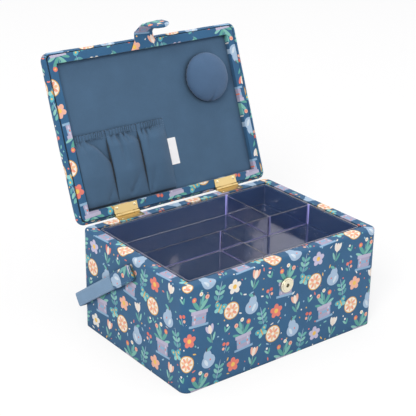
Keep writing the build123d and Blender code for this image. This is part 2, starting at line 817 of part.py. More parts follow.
def handle_pivots():
    """The studs that the handle turns on, headed inside and out, and their spacers."""
    pieces = {}
    inner_x = BASE_WIDTH / 2 - CLOTH - WALL_BOARD
    shank_long = core_outer_x + STUD_HEAD_GAP - inner_x
    for side, sign in (("left", -1), ("right", 1)):
        out = (sign, 0, 0)
        wall_x = sign * inner_x
        shank = rod((wall_x, 0, HANDLE_PIVOT_Z), out, STUD_RADIUS, shank_long)
        head_x = sign * (core_outer_x + STUD_HEAD_GAP)
        head = rod((head_x, 0, HANDLE_PIVOT_Z), out, STUD_HEAD_RADIUS, STUD_HEAD)
        inner_head_x = sign * (inner_x - STUD_INNER_HEAD)
        inner_head = rod(
            (inner_head_x, 0, HANDLE_PIVOT_Z), out, STUD_INNER_HEAD_RADIUS, STUD_INNER_HEAD
        )
        stud = shank + head + inner_head
        face_x = sign * BASE_WIDTH / 2
        spacer = rod((face_x, 0, HANDLE_PIVOT_Z), out, SPACER_RADIUS, SPACER_THICK)
        pieces[f"handle_stud_{side}"] = stud
        pieces[f"handle_spacer_{side}"] = spacer - stud
    return pieces


def folded_tab(pieces, creased):
    """Tab pieces bent to their resting shape on the open lid."""
    left, right = crease_plane_line(0)
    start = crease_point(*left)
    crease = Axis(start, crease_point(*right) - start)
    fold = Axis((0, tab_fold_y, axis_z), (1, 0, 0))
    out = {}
    for name, shape in pieces.items():
        if creased:
            shape = shape.rotate(crease, TAB_CREASE_REST)
        shape = shape.rotate(fold, TAB_FOLD_REST - 90)
        out[name] = opened(shape)
    return out


def cut_for(pieces, names, tools):
    """Cuts fasteners out of the boards and cloth that they pass through."""
    for name in names:
        for tool in tools:
            pieces[name] -= tool


def sewing_box():
    """Every piece of the box, open as it stands for use, by name."""
    pieces = base_boards()
    pieces["base_cover"] = base_cover()
    pieces |= base_linings()
    pieces |= tray_ledges()
    pieces["tray"] = tray()
    pieces |= snap_socket()
    pieces |= handle_pivots()
    pieces |= handle()
    cut_for(pieces, ["board_front", "base_cover"], [pieces["snap_socket"]])
    for side in ("left", "right"):
        stud = pieces[f"handle_stud_{side}"]
        cut_for(pieces, [f"board_{side}", f"lining_{side}", "base_cover"], [stud])

    lid = lid_shell()
    lid |= lid_frame()
    lid |= pocket()
    lid |= pincushion()
    lid["label_tab"] = label()
    lid["tab_root"] = tab_root()
    metal = hinges()
    base_screws = metal["hinge_screws_base"].solids()
    lid_screws = metal["hinge_screws_lid"].solids()
    cut_for(pieces, ["board_back", "base_cover"], base_screws)
    cut_for(lid, ["lid_frame_back", "lid_rim_cover"], lid_screws)
    for name, shape in metal.items():
        if "lid" in name:
            lid[name] = shape
        else:
            pieces[name] = shape
    for name, shape in lid.items():
        pieces[name] = opened(shape)
    pieces |= folded_tab({"tab_strap": tab_strap()}, False)
    pieces |= folded_tab(snap_tab_pieces(), True)
    return pieces


os.makedirs("parts", exist_ok=True)
for piece_name, piece in sewing_box().items():
    export_step(piece, f"parts/{piece_name}.step")
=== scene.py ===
"""Looks of a fabric-covered sewing box, standing open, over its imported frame.

Lengths in the making functions are millimetres. Lid pieces are drawn on the closed
box, where the lid lies flat, and then turned open about the hinges.
"""

import json
import math
from functools import partial

import bmesh
import bpy
from mathutils import Matrix, Vector, noise


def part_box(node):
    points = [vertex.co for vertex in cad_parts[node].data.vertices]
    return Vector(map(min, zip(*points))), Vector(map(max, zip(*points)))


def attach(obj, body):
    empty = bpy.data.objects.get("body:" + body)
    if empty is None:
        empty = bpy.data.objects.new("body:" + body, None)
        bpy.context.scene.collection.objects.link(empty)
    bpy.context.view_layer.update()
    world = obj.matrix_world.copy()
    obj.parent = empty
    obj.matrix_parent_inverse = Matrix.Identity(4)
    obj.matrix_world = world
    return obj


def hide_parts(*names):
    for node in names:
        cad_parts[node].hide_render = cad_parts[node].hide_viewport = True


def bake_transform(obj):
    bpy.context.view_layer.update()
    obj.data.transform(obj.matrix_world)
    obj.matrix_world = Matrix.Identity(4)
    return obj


MM = 0.001

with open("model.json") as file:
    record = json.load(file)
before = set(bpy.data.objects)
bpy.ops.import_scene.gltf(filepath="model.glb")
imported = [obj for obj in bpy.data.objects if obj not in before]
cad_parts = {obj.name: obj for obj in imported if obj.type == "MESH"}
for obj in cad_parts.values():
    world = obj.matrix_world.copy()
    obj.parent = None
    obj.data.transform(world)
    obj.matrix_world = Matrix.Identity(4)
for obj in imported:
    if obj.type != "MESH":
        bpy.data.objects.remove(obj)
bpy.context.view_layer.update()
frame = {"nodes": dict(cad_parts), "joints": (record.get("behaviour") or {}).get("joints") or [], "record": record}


def joint(name):
    """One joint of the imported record."""
    return next(j for j in frame["joints"] if j["name"] == name)


def turned(name, degrees):
    """The turn of a joint by an angle, as a matrix."""
    record = joint(name)
    pivot = Vector(record["pos_m"])
    turn = Matrix.Rotation(math.radians(degrees), 4, Vector(record["axis"]))
    return Matrix.Translation(pivot) @ turn @ Matrix.Translation(-pivot)


LID_OPENS = -joint("lid_hinge")["range_deg"][0]
OPEN_LID = turned("lid_hinge", LID_OPENS)
CLOSED_LID = OPEN_LID.inverted()


def closed_box(node):
    """Lowest and highest corner of a lid node on the closed box, in millimetres."""
    points = [CLOSED_LID @ v.co / MM for v in frame["nodes"][node].data.vertices]
    low = Vector([min(p[i] for p in points) for i in range(3)])
    high = Vector([max(p[i] for p in points) for i in range(3)])
    return low, high


# the frame's own sizes, in millimetres
half_width, half_depth, rim_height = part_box("base_cover")[1] / MM
hinge = Vector(joint("lid_hinge")["pos_m"]) / MM
cover_low, cover_high = closed_box("lid_cover")
rim_low = closed_box("lid_rim_cover")[0]
lining_low, lining_high = closed_box("lid_lining")
cushion_low, cushion_high = closed_box("pincushion_cloth")
pocket_low, pocket_high = closed_box("pocket_cloth")
root_high = closed_box("tab_root")[1]
lid_face = rim_low.z
panel_face = lining_low.z
tab_fold = CLOSED_LID @ Vector(joint("tab_fold")["pos_m"]) / MM

# sizes that the frame's boxes don't give, in millimetres and degrees: the radius of
# the box's upright corners, how far down its rim the wrapped cloth counts as rim, the
# spacing of the print's small patches, and the pockets' seams from the middle
VERTICAL_CORNER = 8.8
RIM_EDGE = 3.0
FILLER_PITCH = 9.5
POCKET_SEAMS = (-115.0, -72.5, -31.5, 5.2)
TRAY_FLOOR = 92.5
# where the tray's outer walls start, sideways and endways
TRAY_WALLS = (112.0, 76.0)
# how much painted violet glow the feet of its dividers take, and how much painted pale grey
# highlight the tops of its dividers take, with how much more on the tops of its outer walls
TRAY_FOOT_PAINTED_GLOW = 0.27
TRAY_TOP_PAINTED_HIGHLIGHT = 0.13
TRAY_RIM_PAINTED_HIGHLIGHT = 0.27
# where the tray's walls meet, and how strong the painted violet glow in each post there is
TRAY_POST_HALF = 1.5
TRAY_POSTS = (
    (56.5, 1.5, 0.26),
    (-12.0, 1.5, 0.3),
    (56.5, 78.0, 0.95),
    (-12.0, -78.0, 0.2),
    (114.5, 1.5, 0.9),
    (-114.5, 1.5, 0.2),
)
# the handle: its angle at rest, its reach from the pivots, its bends, and then its
# band, its stiffener and its end covers, each from where it starts
HANDLE_ANGLE = -35.2
HANDLE_REACH = 122.0
HANDLE_BEND = 4.0
HANDLE_STEP = 3.0
BAND_START = 20.0
BAND_WIDE = 15.5
BAND_THICK = 3.4
BAND_SECTION_STEPS = 32
CORE_START = 7.0
CORE_THICK = 1.2
END_COVER_START = -8.4
END_COVER_END = 33.6
END_COVER_WIDE = 17.2
END_COVER_THICK = 4.7
# rows of stitches: where the band's begin, how far off the middle, and how far aside
BAND_STITCHES_START = 34.5
BAND_STITCHES_OUT = 1.74
BAND_STITCHES_SIDE = 6.0
COVER_STITCHES_OUT = 2.42
COVER_STITCHES_SIDE = 6.6
# the closure tab: its crease, its two bends with their angles and radii, its widths
TAB_CREASE = 21.0
TAB_SLANT = 10.0
TAB_LEAN = 72.0
TAB_FOLD_RADIUS = 3.6
TAB_CURL = 38.0
TAB_CREASE_RADIUS = 5.0
TAB_LENGTH = 45.0
TAB_HALF = 12.5
TAB_NECK_HALF = 13.5
TAB_ROOT_HALF = 20.0
# the tab's thickness where it is glued down, and how much more it is free and at its tip
TAB_GLUED = 1.3
TAB_FREE_MORE = 1.2
TAB_TIP_MORE = 0.7
TAB_PUCKER_DEEP = 0.38
# the two stretches that the tab is made of meet here, the one a little inside the other
TAB_MEETING = 10.5
TAB_OVERLAP = 0.3
TAB_SECTION_STEPS = 28
# the hinges, and their screws from a hinge's middle and from its pin
HINGE_MIDDLE = 70.0
HINGE_LEAF = 0.8
SCREW_HALF_GAP = 11.5
SCREW_BACK = 8.3
SCREW_HEAD = 1.8
SCREW_DOME = 0.34

# the photograph's viewpoint: where the camera stands and its three directions
CAMERA_PLACE = (-0.71604, -0.88175, 0.60633)
CAMERA_RIGHT = (0.79332, -0.60864, 0.01449)
CAMERA_UP = (0.22120, 0.31033, 0.92454)
CAMERA_AHEAD = (0.56720, 0.73024, -0.38082)
CAMERA_LENS = 99.17


def set_camera():
    """The photograph's viewpoint, through a long lens."""
    data = bpy.data.cameras.new("photograph view")
    data.sensor_width = 36.0
    data.lens = CAMERA_LENS
    data.clip_start = 0.05
    camera = bpy.data.objects.new("photograph view", data)
    bpy.context.scene.collection.objects.link(camera)
    axes = Matrix((CAMERA_RIGHT, CAMERA_UP, [-c for c in CAMERA_AHEAD])).transposed()
    camera.matrix_world = Matrix.Translation(CAMERA_PLACE) @ axes.to_4x4()
    bpy.context.scene.camera = camera


def linear(hex_colour):
    """An sRGB hex colour as linear red, green, blue and alpha."""
    parts = [int(hex_colour[i : i + 2], 16) / 255 for i in (1, 3, 5)]
    out = [c / 12.92 if c <= 0.04045 else ((c + 0.055) / 1.055) ** 2.4 for c in parts]
    return (*out, 1.0)


def add(tree, kind, *inputs, **settings):
    """A node with its settings, and its inputs set or linked.

    Inputs come in the sockets' order, or by name or number in a dictionary. A node
    given as an input stands for its first output.
    """
    node = tree.nodes.new(kind)
    for name, value in settings.items():
        setattr(node, name, value)
    by_name = len(inputs) == 1 and isinstance(inputs[0], dict)
    for name, value in inputs[0].items() if by_name else enumerate(inputs):
        if isinstance(value, bpy.types.Node):
            value = value.outputs[0]
        if isinstance(value, bpy.types.NodeSocket):
            tree.links.new(value, node.inputs[name])
        else:
            node.inputs[name].default_value = value
    return node


def add_lamp(name, place, aim, size, watts, colour):
    """A square soft box that faces a point."""
    data = bpy.data.lights.new(name, "AREA")
    data.size = size
    data.energy = watts
    data.color = linear(colour)[:3]
    lamp = bpy.data.objects.new(name, data)
    lamp.location = place
    lamp.rotation_euler = (Vector(aim) - Vector(place)).to_track_quat("-Z", "Y").to_euler()
    bpy.context.scene.collection.objects.link(lamp)


def set_studio():
    """A surround that is white to the eye and to gloss and dimmer as light, and soft boxes."""
    scene = bpy.context.scene
    scene.view_settings.view_transform = "Standard"
    scene.world = bpy.data.worlds.new("studio")
    scene.world.use_nodes = True
    scene.world.node_tree.nodes.clear()
    put = partial(add, scene.world.node_tree)
    rays = put("ShaderNodeLightPath").outputs
    seen = rays["Is Camera Ray"]
    for ray in ("Is Transmission Ray", "Is Glossy Ray"):
        seen = put("ShaderNodeMath", seen, rays[ray], operation="MAXIMUM")
    strength = put("ShaderNodeMapRange", {"Value": seen, "To Min": 0.62, "To Max": 1.0})
    shell = put("ShaderNodeBackground", linear("#FDFDFF"), strength)
    put("ShaderNodeOutputWorld", shell)
    add_lamp("key soft box", (-1.9, -1.5, 1.9), (0, 0, 0.12), 1.2, 44.0, "#FFFBF4")
    add_lamp("fill soft box", (1.9, -1.4, 1.2), (0, 0, 0.12), 1.6, 8.0, "#F4F8FF")
    add_lamp("top soft box", (0.2, 0.5, 2.4), (0, 0.05, 0.1), 1.8, 20.0, "#FFFFFF")


def shaded(name):
    """A new material without nodes, and the function that adds nodes to it."""
    material = bpy.data.materials.new(name)
    material.use_nodes = True
    material.node_tree.nodes.clear()
    return material, partial(add, material.node_tree)


def finish_material(material, shader):
    """Joins the shader to the material's output, and gives the material back."""
    add(material.node_tree, "ShaderNodeOutputMaterial", {"Surface": shader})
    return material


FLOOR_REACH = 8.0
FLOOR_LEVEL = -0.0004


def set_floor():
    """The pale studio floor, painted matt, white to the eye but for soft shadow."""
    material, put = shaded("matt white studio floor")
    paint = put("ShaderNodeBsdfDiffuse", {"Color": linear("#EDEDEE"), "Roughness": 1.0})
    glow = put("ShaderNodeEmission", {"Color": linear("#FFFFFF"), "Strength": 1.0})
    eye = put("ShaderNodeLightPath").outputs["Is Camera Ray"]
    share = put("ShaderNodeMath", eye, 0.72, operation="MULTIPLY")
    finish_material(material, put("ShaderNodeMixShader", share, paint, glow))
    mesh = bpy.data.meshes.new("studio floor")
    signs = ((-1, -1), (1, -1), (1, 1), (-1, 1))
    corners = [(x * FLOOR_REACH, y * FLOOR_REACH, FLOOR_LEVEL) for x, y in signs]
    mesh.from_pydata(corners, [], [(0, 1, 2, 3)])
    floor = bpy.data.objects.new("studio floor", mesh)
    mesh.materials.append(material)
    bpy.context.scene.collection.objects.link(floor)


def on_ring(radius, degrees):
    """A place on a circle round the middle, clockwise from its top."""
    return radius * math.sin(math.radians(degrees)), radius * math.cos(math.radians(degrees))


# what the print is drawn with: each patch of ink is an ellipse, or a rectangle where
# its last entry says so, in millimetres: place, half sizes, turn in degrees, ink
BLOOM = "bloom"
LEAF_GREEN = "#6FB4AE"
MINT = "#8CC7BC"
FERN = "#5FA79C"
SEA_GREEN = "#5FA8A0"
CORAL = "#E98273"
PEACH = "#F2B8A2"
EGG_YELLOW = "#F3C766"
CREAM = "#F1EDE6"
LILAC = "#AFA9C4"
CLOUD_BLUE = "#8FB3D1"
PEAR_BLUE = "#A9C2DB"
STEM_BLUE = "#9DC3DA"
WING_BLUE = "#5FB3C0"
WING_MINT = "#8FD0CF"
POTTED = [
    (0.0, 6.0, 0.6, 7.0, 0, "#6FA79A"),
    (-5.0, 6.4, 2.1, 7.2, 38, FERN),
    (5.0, 6.4, 2.1, 7.2, -38, "#7FBDB0"),
    (-8.4, 1.4, 1.6, 5.4, 68, MINT),
    (8.4, 1.4, 1.6, 5.4, -68, FERN),
    (3.0, 11.4, 1.7, 5.6, -12, LEAF_GREEN),
    (-7.6, 12.6, 2.7, 2.7, 0, CORAL),
    (-7.6, 12.6, 1.1, 1.1, 0, EGG_YELLOW),
    (8.4, 13.4, 2.5, 2.5, 0, PEACH),
    (8.4, 13.4, 1.0, 1.0, 0, CORAL),
    (0.6, 17.6, 2.3, 2.3, 0, CREAM),
    (0.6, 17.6, 0.9, 0.9, 0, EGG_YELLOW),
    (0.0, -7.6, 8.6, 6.6, 0, LILAC, "box"),
    (0.0, -13.2, 7.4, 1.8, 0, LILAC, "box"),
    (-5.6, -8.6, 1.3, 5.0, 0, "#CFCADD"),
    (0.0, -8.4, 8.6, 1.7, 0, CLOUD_BLUE, "box"),
    (-5.0, -8.4, 1.1, 1.1, 0, CORAL),
    (5.0, -8.4, 1.1, 1.1, 0, CORAL),
    (0.0, -1.6, 10.2, 1.9, 0, "#BDB8D0", "box"),
    (0.0, -16.0, 12.0, 1.3, 0, CLOUD_BLUE, "box"),
]
TULIP = [
    (0.0, -5.0, 0.5, 7.5, 0, "#7FA99B"),
    (-3.0, -6.6, 1.3, 5.0, 24, SEA_GREEN),
    (3.2, -5.4, 1.3, 4.6, -28, MINT),
    (-2.7, 5.0, 2.0, 4.8, 16, BLOOM),
    (2.7, 5.0, 2.0, 4.8, -16, BLOOM),
    (0.0, 4.2, 2.2, 5.2, 0, "#F5E6DA"),
]
ROSETTE = [(*on_ring(4.6, a), 3.0, 3.6, -a, BLOOM) for a in range(0, 360, 72)]
ROSETTE.append((0.0, 0.0, 2.5, 2.5, 0, EGG_YELLOW))
BRANCH = [(0.0, 0.0, 0.45, 11.5, 0, "#A9C9DC")] + [
    (side * 3.3, along, 1.7, 3.5, side * -48, ink)
    for along, ink in ((-6.5, "#5E9FA6"), (-1.0, MINT), (4.5, LEAF_GREEN))
    for side in (-1, 1)
]
PEAR = [
    (0.0, -3.2, 8.4, 7.6, 0, PEAR_BLUE),
    (0.4, 3.2, 5.0, 6.6, -6, PEAR_BLUE),
    (-3.0, -3.6, 1.8, 4.2, 14, "#D3E0EC"),
    (0.9, 10.4, 0.6, 2.4, -14, "#5C4B52"),
    (4.4, 9.8, 3.6, 1.5, 18, LEAF_GREEN),
    (2.6, -2.6, 1.0, 1.0, 0, "#E88173"),
]
SLICE = [(0.0, 0.0, 9.6, 9.6, 0, "#E5AC52"), (0.0, 0.0, 8.6, 8.6, 0, "#F8F0E2")] + [
    (*on_ring(4.8, a), 1.5, 3.1, -a, "#F2A58B" if a % 90 else "#F4C49A")
    for a in range(0, 360, 45)
]
BUTTERFLY = [
    (-4.0, 2.8, 4.4, 3.0, -28, WING_BLUE),
    (4.0, 2.8, 4.4, 3.0, 28, WING_BLUE),
    (-3.0, -2.6, 3.0, 2.3, 32, WING_MINT),
    (3.0, -2.6, 3.0, 2.3, -32, WING_MINT),
    (-4.6, 3.0, 1.1, 1.1, 0, EGG_YELLOW),
    (4.6, 3.0, 1.1, 1.1, 0, EGG_YELLOW),
    (0.0, 0.4, 0.8, 4.6, 0, "#E9B35C"),
]
BERRIES = [
    (0.0, -1.6, 0.4, 5.0, 20, STEM_BLUE),
    (-2.4, 3.2, 2.0, 2.0, 0, CORAL),
    (2.2, 4.2, 2.0, 2.0, 0, "#E2715F"),
    (3.0, -1.0, 1.7, 1.7, 0, PEACH),
    (-3.0, -3.0, 1.2, 2.8, 40, LEAF_GREEN),
]
SPRIG = [
    (-1.6, 0.6, 1.2, 3.6, 30, MINT),
    (1.8, 0.2, 1.2, 3.6, -30, SEA_GREEN),
    (0.0, 4.4, 1.4, 1.4, 0, CREAM),
]
GROUND_INK = "#336289"
BLOOM_INKS = (CORAL, PEACH, "#C9C3DC", CREAM)
FILLER_INKS = (CREAM, CORAL, "#7FC0B8", STEM_BLUE, "#F1C26A", "#D6CFE2")

# the repeat: motifs stand in columns, and every other column is dropped by half
REPEAT_WIDE = 56.0
REPEAT_TALL = 88.0
# each motif with its place in the repeat, its turn and the clear round that it keeps
LAYOUT = (
    (POTTED, 0.0, 1.0, 4, 19.0),
    (SLICE, -16.0, 33.0, 10, 11.5),
    (PEAR, 11.0, 32.0, -14, 12.5),
    (ROSETTE, -12.5, -29.5, 0, 10.0),
    (TULIP, 14.0, -28.0, -12, 11.0),
    (BUTTERFLY, 25.0, -4.5, 24, 9.0),
    (BRANCH, 24.5, 14.5, 14, 10.0),
    (BERRIES, -22.5, -6.5, 0, 7.5),
    (SPRIG, -22.0, 13.5, -18, 6.5),
)
# the small patches strewn between the motifs turn by up to a full turn, in radians
ANY_TURN = 6.3
# so small a share of a colour that it moves nothing
NEXT_TO_NOTHING = (1e-6, 1e-6, 1e-6)


def ink_ramp(put, chance, inks):
    """One of several inks, picked by a number from 0 to 1."""
    ramp = put("ShaderNodeValToRGB", chance)
    ramp.color_ramp.interpolation = "CONSTANT"
    while len(ramp.color_ramp.elements) < len(inks):
        ramp.color_ramp.elements.new(0.5)
    for i, ink in enumerate(inks):
        ramp.color_ramp.elements[i].position = i / len(inks)
        ramp.color_ramp.elements[i].color = linear(ink)
    return ramp


def patch_mask(put, place, x, y, half_x, half_y, degrees, square=False):
    """1 inside a turned ellipse or rectangle on the cloth, and 0 outside."""
    fit = {"Vector": place, "Location": (x, y, 0), "Scale": (half_x, half_y, 1)}
    fit["Rotation"] = (0, 0, math.radians(degrees))
    fitted = put("ShaderNodeMapping", fit, vector_type="TEXTURE")
    if square:
        away = put("ShaderNodeVectorMath", fitted, operation="ABSOLUTE")
        wide, tall = put("ShaderNodeSeparateXYZ", away).outputs[:2]
        reach = put("ShaderNodeMath", wide, tall, operation="MAXIMUM")
    else:
        reach = put("ShaderNodeVectorMath", fitted, operation="LENGTH").outputs["Value"]
    return put("ShaderNodeMath", reach, 1.0, operation="LESS_THAN")


def repeated(put, place, across, up, degrees):
    """The cloth's place as seen from the nearest copy of a motif, and that copy's chance.

    Every other column of copies is dropped by half a repeat and mirrored.
    """
    moved = put("ShaderNodeVectorMath", place, (across, up, 0), operation="SUBTRACT")
    x, y = put("ShaderNodeSeparateXYZ", moved).outputs[:2]
    column = put("ShaderNodeMath", x, REPEAT_WIDE, operation="DIVIDE")
    column = put("ShaderNodeMath", column, operation="ROUND")
    odd = put("ShaderNodeMath", column, 1.0, operation="PINGPONG")
    local_x = put("ShaderNodeMath", column, -REPEAT_WIDE, x, operation="MULTIPLY_ADD")
    dropped = put("ShaderNodeMath", odd, -REPEAT_TALL / 2, y, operation="MULTIPLY_ADD")
    row = put("ShaderNodeMath", dropped, REPEAT_TALL, operation="DIVIDE")
    row = put("ShaderNodeMath", row, operation="ROUND")
    local_y = put("ShaderNodeMath", row, -REPEAT_TALL, dropped, operation="MULTIPLY_ADD")
    mirror = put("ShaderNodeMath", odd, -2.0, 1.0, operation="MULTIPLY_ADD")
    local_x = put("ShaderNodeMath", local_x, mirror, operation="MULTIPLY")
    own = put("ShaderNodeCombineXYZ", local_x, local_y)
    lean = {"Vector": own, "Angle": math.radians(degrees)}
    own = put("ShaderNodeVectorRotate", lean, rotation_type="Z_AXIS")
    cell = put("ShaderNodeCombineXYZ", column, row, across)
    return own, put("ShaderNodeTexWhiteNoise", {"Vector": cell})


def scattered(put, place):
    """Small patches strewn over the cloth, and the chance that picks each one's ink."""
    spread = {"Vector": place, "Scale": 1 / FILLER_PITCH, "Randomness": 0.75}
    cells = put("ShaderNodeTexVoronoi", spread, voronoi_dimensions="2D", feature="F1").outputs
    inner = put("ShaderNodeVectorMath", place, cells["Position"], operation="SUBTRACT")
    chances = put("ShaderNodeSeparateColor", cells["Color"]).outputs
    turn = put("ShaderNodeMath", chances[0], ANY_TURN, operation="MULTIPLY")
    lean = {"Vector": inner, "Angle": turn}
    own = put("ShaderNodeVectorRotate", lean, rotation_type="Z_AXIS")
    dot = patch_mask(put, own, 0, 0, 0.95, 0.95, 0)
    leaf = patch_mask(put, own, 0, 0, 0.8, 2.2, 0)
    is_leaf = put("ShaderNodeMath", chances[1], 0.5, operation="GREATER_THAN")
    patch = put("ShaderNodeMix", {0: is_leaf, 2: dot, 3: leaf})
    kept = put("ShaderNodeMath", chances[2], 0.8, operation="LESS_THAN")
    return put("ShaderNodeMath", patch, kept, operation="MULTIPLY"), chances[2]


def make_print():
    """Garden print: potted plants, fruit, tulips, sprays and butterflies on blue."""
    tree = bpy.data.node_groups.new("garden print", "ShaderNodeTree")
    tree.interface.new_socket("Place", in_out="INPUT", socket_type="NodeSocketVector")
    tree.interface.new_socket("Colour", in_out="OUTPUT", socket_type="NodeSocketColor")
    put = partial(add, tree)
    place = put("NodeGroupInput").outputs["Place"]
    shown, chance = scattered(put, place)
    colour = linear(GROUND_INK)
    for motif, across, up, lean, clear in LAYOUT:
        own, pick = repeated(put, place, across, up, lean)
        away = put("ShaderNodeVectorMath", own, operation="LENGTH").outputs["Value"]
        free = put("ShaderNodeMath", away, clear, operation="GREATER_THAN")
        shown = put("ShaderNodeMath", shown, free, operation="MULTIPLY")
        bloom = None
        for x, y, half_x, half_y, degrees, ink, *square in motif:
            mask = patch_mask(put, own, x, y, half_x, half_y, degrees, square)
            if ink == BLOOM and bloom is None:
                bloom = ink_ramp(put, pick, BLOOM_INKS)
            laid = {0: mask, 6: colour, 7: bloom if ink == BLOOM else linear(ink)}
            colour = put("ShaderNodeMix", laid, data_type="RGBA").outputs[2]
        # the next motif waits for this one, which keeps the shader's memory small
        waiting = (colour, NEXT_TO_NOTHING, place)
        place = put("ShaderNodeVectorMath", *waiting, operation="MULTIPLY_ADD")
    strewn = {0: shown, 6: colour, 7: ink_ramp(put, chance, FILLER_INKS)}
    strewn = put("ShaderNodeMix", strewn, data_type="RGBA").outputs[2]
    put("NodeGroupOutput", strewn)
    return tree


garden_print = make_print()


def in_millimetres(put, place):
    """A place in metres as one in millimetres."""
    return put("ShaderNodeVectorMath", {0: place, "Scale": 1 / MM}, operation="SCALE")


def object_place(put):
    """Object coordinates in millimetres."""
    return in_millimetres(put, put("ShaderNodeTexCoord").outputs["Object"])


def cut_place(put):
    """The piece's own cloth coordinates in millimetres."""
    return in_millimetres(put, put("ShaderNodeUVMap", uv_map="cloth"))


def lid_place(put):
    """Object coordinates turned down to the closed lid, in millimetres."""
    turn = {"Vector": object_place(put), "Center": tuple(hinge), "Angle": math.radians(LID_OPENS)}
    return put("ShaderNodeVectorRotate", turn, rotation_type="X_AXIS")


def wrapped_place(put):
    """Cloth coordinates round the box's walls and over its rim, in millimetres.

    The cloth runs round the corners from the middle of the front to a seam in the
    middle of the back, and folds inwards over the top edge.
    """
    x, y, z = put("ShaderNodeSeparateXYZ", object_place(put)).outputs[:3]
    side = put("ShaderNodeMath", x, operation="SIGN")
    wide = put("ShaderNodeMath", x, operation="ABSOLUTE")
    deep = put("ShaderNodeMath", y, operation="ABSOLUTE")
    from_front = put("ShaderNodeMath", y, half_depth, operation="ADD")
    from_side = put("ShaderNodeMath", half_width, wide, operation="SUBTRACT")
    from_end = put("ShaderNodeMath", half_depth, deep, operation="SUBTRACT")
    rear = put("ShaderNodeMath", y, half_depth - VERTICAL_CORNER, operation="GREATER_THAN")
    beyond = put("ShaderNodeMath", 2 * half_width, wide, operation="SUBTRACT")
    across = put("ShaderNodeMix", {0: rear, 2: wide, 3: beyond})
    around = put("ShaderNodeMath", from_front, across, operation="ADD")
    at_end = put("ShaderNodeMath", from_end, from_side, operation="LESS_THAN")
    behind = put("ShaderNodeMath", y, 0.0, operation="GREATER_THAN")
    rim_back = put("ShaderNodeMath", 2 * (half_width + half_depth), wide, operation="SUBTRACT")
    rim_end = put("ShaderNodeMix", {0: behind, 2: wide, 3: rim_back})
    rim_side = put("ShaderNodeMath", from_front, half_width, operation="ADD")
    rim = put("ShaderNodeMix", {0: at_end, 2: rim_side, 3: rim_end})
    on_rim = put("ShaderNodeMath", z, rim_height - RIM_EDGE, operation="GREATER_THAN")
    along = put("ShaderNodeMix", {0: on_rim, 2: around, 3: rim})
    along = put("ShaderNodeMath", along, side, operation="MULTIPLY")
    inwards = put("ShaderNodeMath", from_side, from_end, operation="MINIMUM")
    inwards = put("ShaderNodeMath", inwards, on_rim, operation="MULTIPLY")
    up = put("ShaderNodeMath", z, inwards, operation="ADD")
    return put("ShaderNodeCombineXYZ", along, up)


# painted shade in hollows: reach in mm, darkest share, and which openness counts as
# shut and which as open
CLOTH_HOLLOWS = (6.0, 0.22, 0.15, 0.75)
POCKET_HOLLOWS = (9.0, 0.05, 0.34, 0.93)
PLATE_HOLLOWS = (1.6, 0.3, 0.15, 0.75)
SNAP_HOLLOWS = (4.0, 0.1, 0.3, 0.75)


def painted_hollow_shade(put, reach, darkest, shut, clear):
    """Painted shade: 1 in the open, falling to the darkest share in narrow hollows, by reach in mm."""
    hollow = put("ShaderNodeAmbientOcclusion", {"Distance": reach * MM}, samples=6)
    span = {"Value": hollow.outputs["AO"], "From Min": shut, "From Max": clear, "To Min": darkest}
    return put("ShaderNodeMapRange", span)


def weave_height(put, place, spacing):
    """Plain weave: crossing threads, as a height from 0 to about 1."""
    threads = {"Vector": place, "Scale": 0.314 / spacing, "Distortion": 0.4, "Detail": 1.0}
    warp, weft = [
        put("ShaderNodeTexWave", threads, wave_type="BANDS", bands_direction=way)
        for way in ("X", "Y")
    ]
    crossed = put("ShaderNodeMath", warp.outputs["Fac"], weft.outputs["Fac"], operation="ADD")
    slub = put("ShaderNodeTexNoise", {"Vector": place, "Scale": 0.9, "Detail": 3.0})
    return put("ShaderNodeMath", crossed, slub, operation="MULTIPLY")


def cloth_shader(put, place, colour, spacing, relief, hollows=CLOTH_HOLLOWS):
    """Matt cotton: threads in relief, a soft sheen and a little uneven dye."""
    height = weave_height(put, place, spacing)
    blotch = {"Vector": place, "Scale": 0.035, "Detail": 4.0, "Roughness": 0.6}
    blotch = put("ShaderNodeTexNoise", blotch)
    # a map range takes its value, the span that is read and the span that comes out
    shade = put("ShaderNodeMapRange", blotch, 0.3, 0.7, 0.93, 1.05)
    # painted shade between the threads: the weave's low places darker, its high places a little lighter
    thread_shade = put("ShaderNodeMapRange", height, 0.0, 1.4, 0.88, 1.06)
    level = put("ShaderNodeMath", shade, thread_shade, operation="MULTIPLY")
    if hollows:
        # painted shade in creases and joins, where cloth in contact keeps the light out
        hollow = painted_hollow_shade(put, *hollows)
        level = put("ShaderNodeMath", level, hollow, operation="MULTIPLY")
    bump = {"Height": height, "Strength": 0.5, "Distance": relief * MM}
    tone = {0: colour, "Scale": level}
    surface = {
        "Base Color": put("ShaderNodeVectorMath", tone, operation="SCALE"),
        "Roughness": 0.86,
        "Sheen Weight": 0.12,
        "Sheen Roughness": 0.5,
        "Specular IOR Level": 0.3,
        "Normal": put("ShaderNodeBump", bump),
    }
    return put("ShaderNodeBsdfPrincipled", surface)


def printed_cotton(name, place_of):
    """Printed cotton poplin: inks sink into the threads, so the print stays matt."""
    material, put = shaded(name)
    place = place_of(put)
    pattern = put("ShaderNodeGroup", {"Place": place}, node_tree=garden_print)
    # threads of a real 0.35 mm pitch are drawn at 0.7 mm so that they show
    return finish_material(material, cloth_shader(put, place, pattern, 0.7, 0.12))


def plain_cotton(name, place_of, ink, spacing=0.8, relief=0.2, hollows=CLOTH_HOLLOWS):
    """Piece-dyed plain weave: one colour, its threads just showing."""
    material, put = shaded(name)
    # threads of a real 0.4 mm pitch are drawn at twice that so that they show
    shader = cloth_shader(put, place_of(put), linear(ink)[:3], spacing, relief, hollows)
    return finish_material(material, shader)


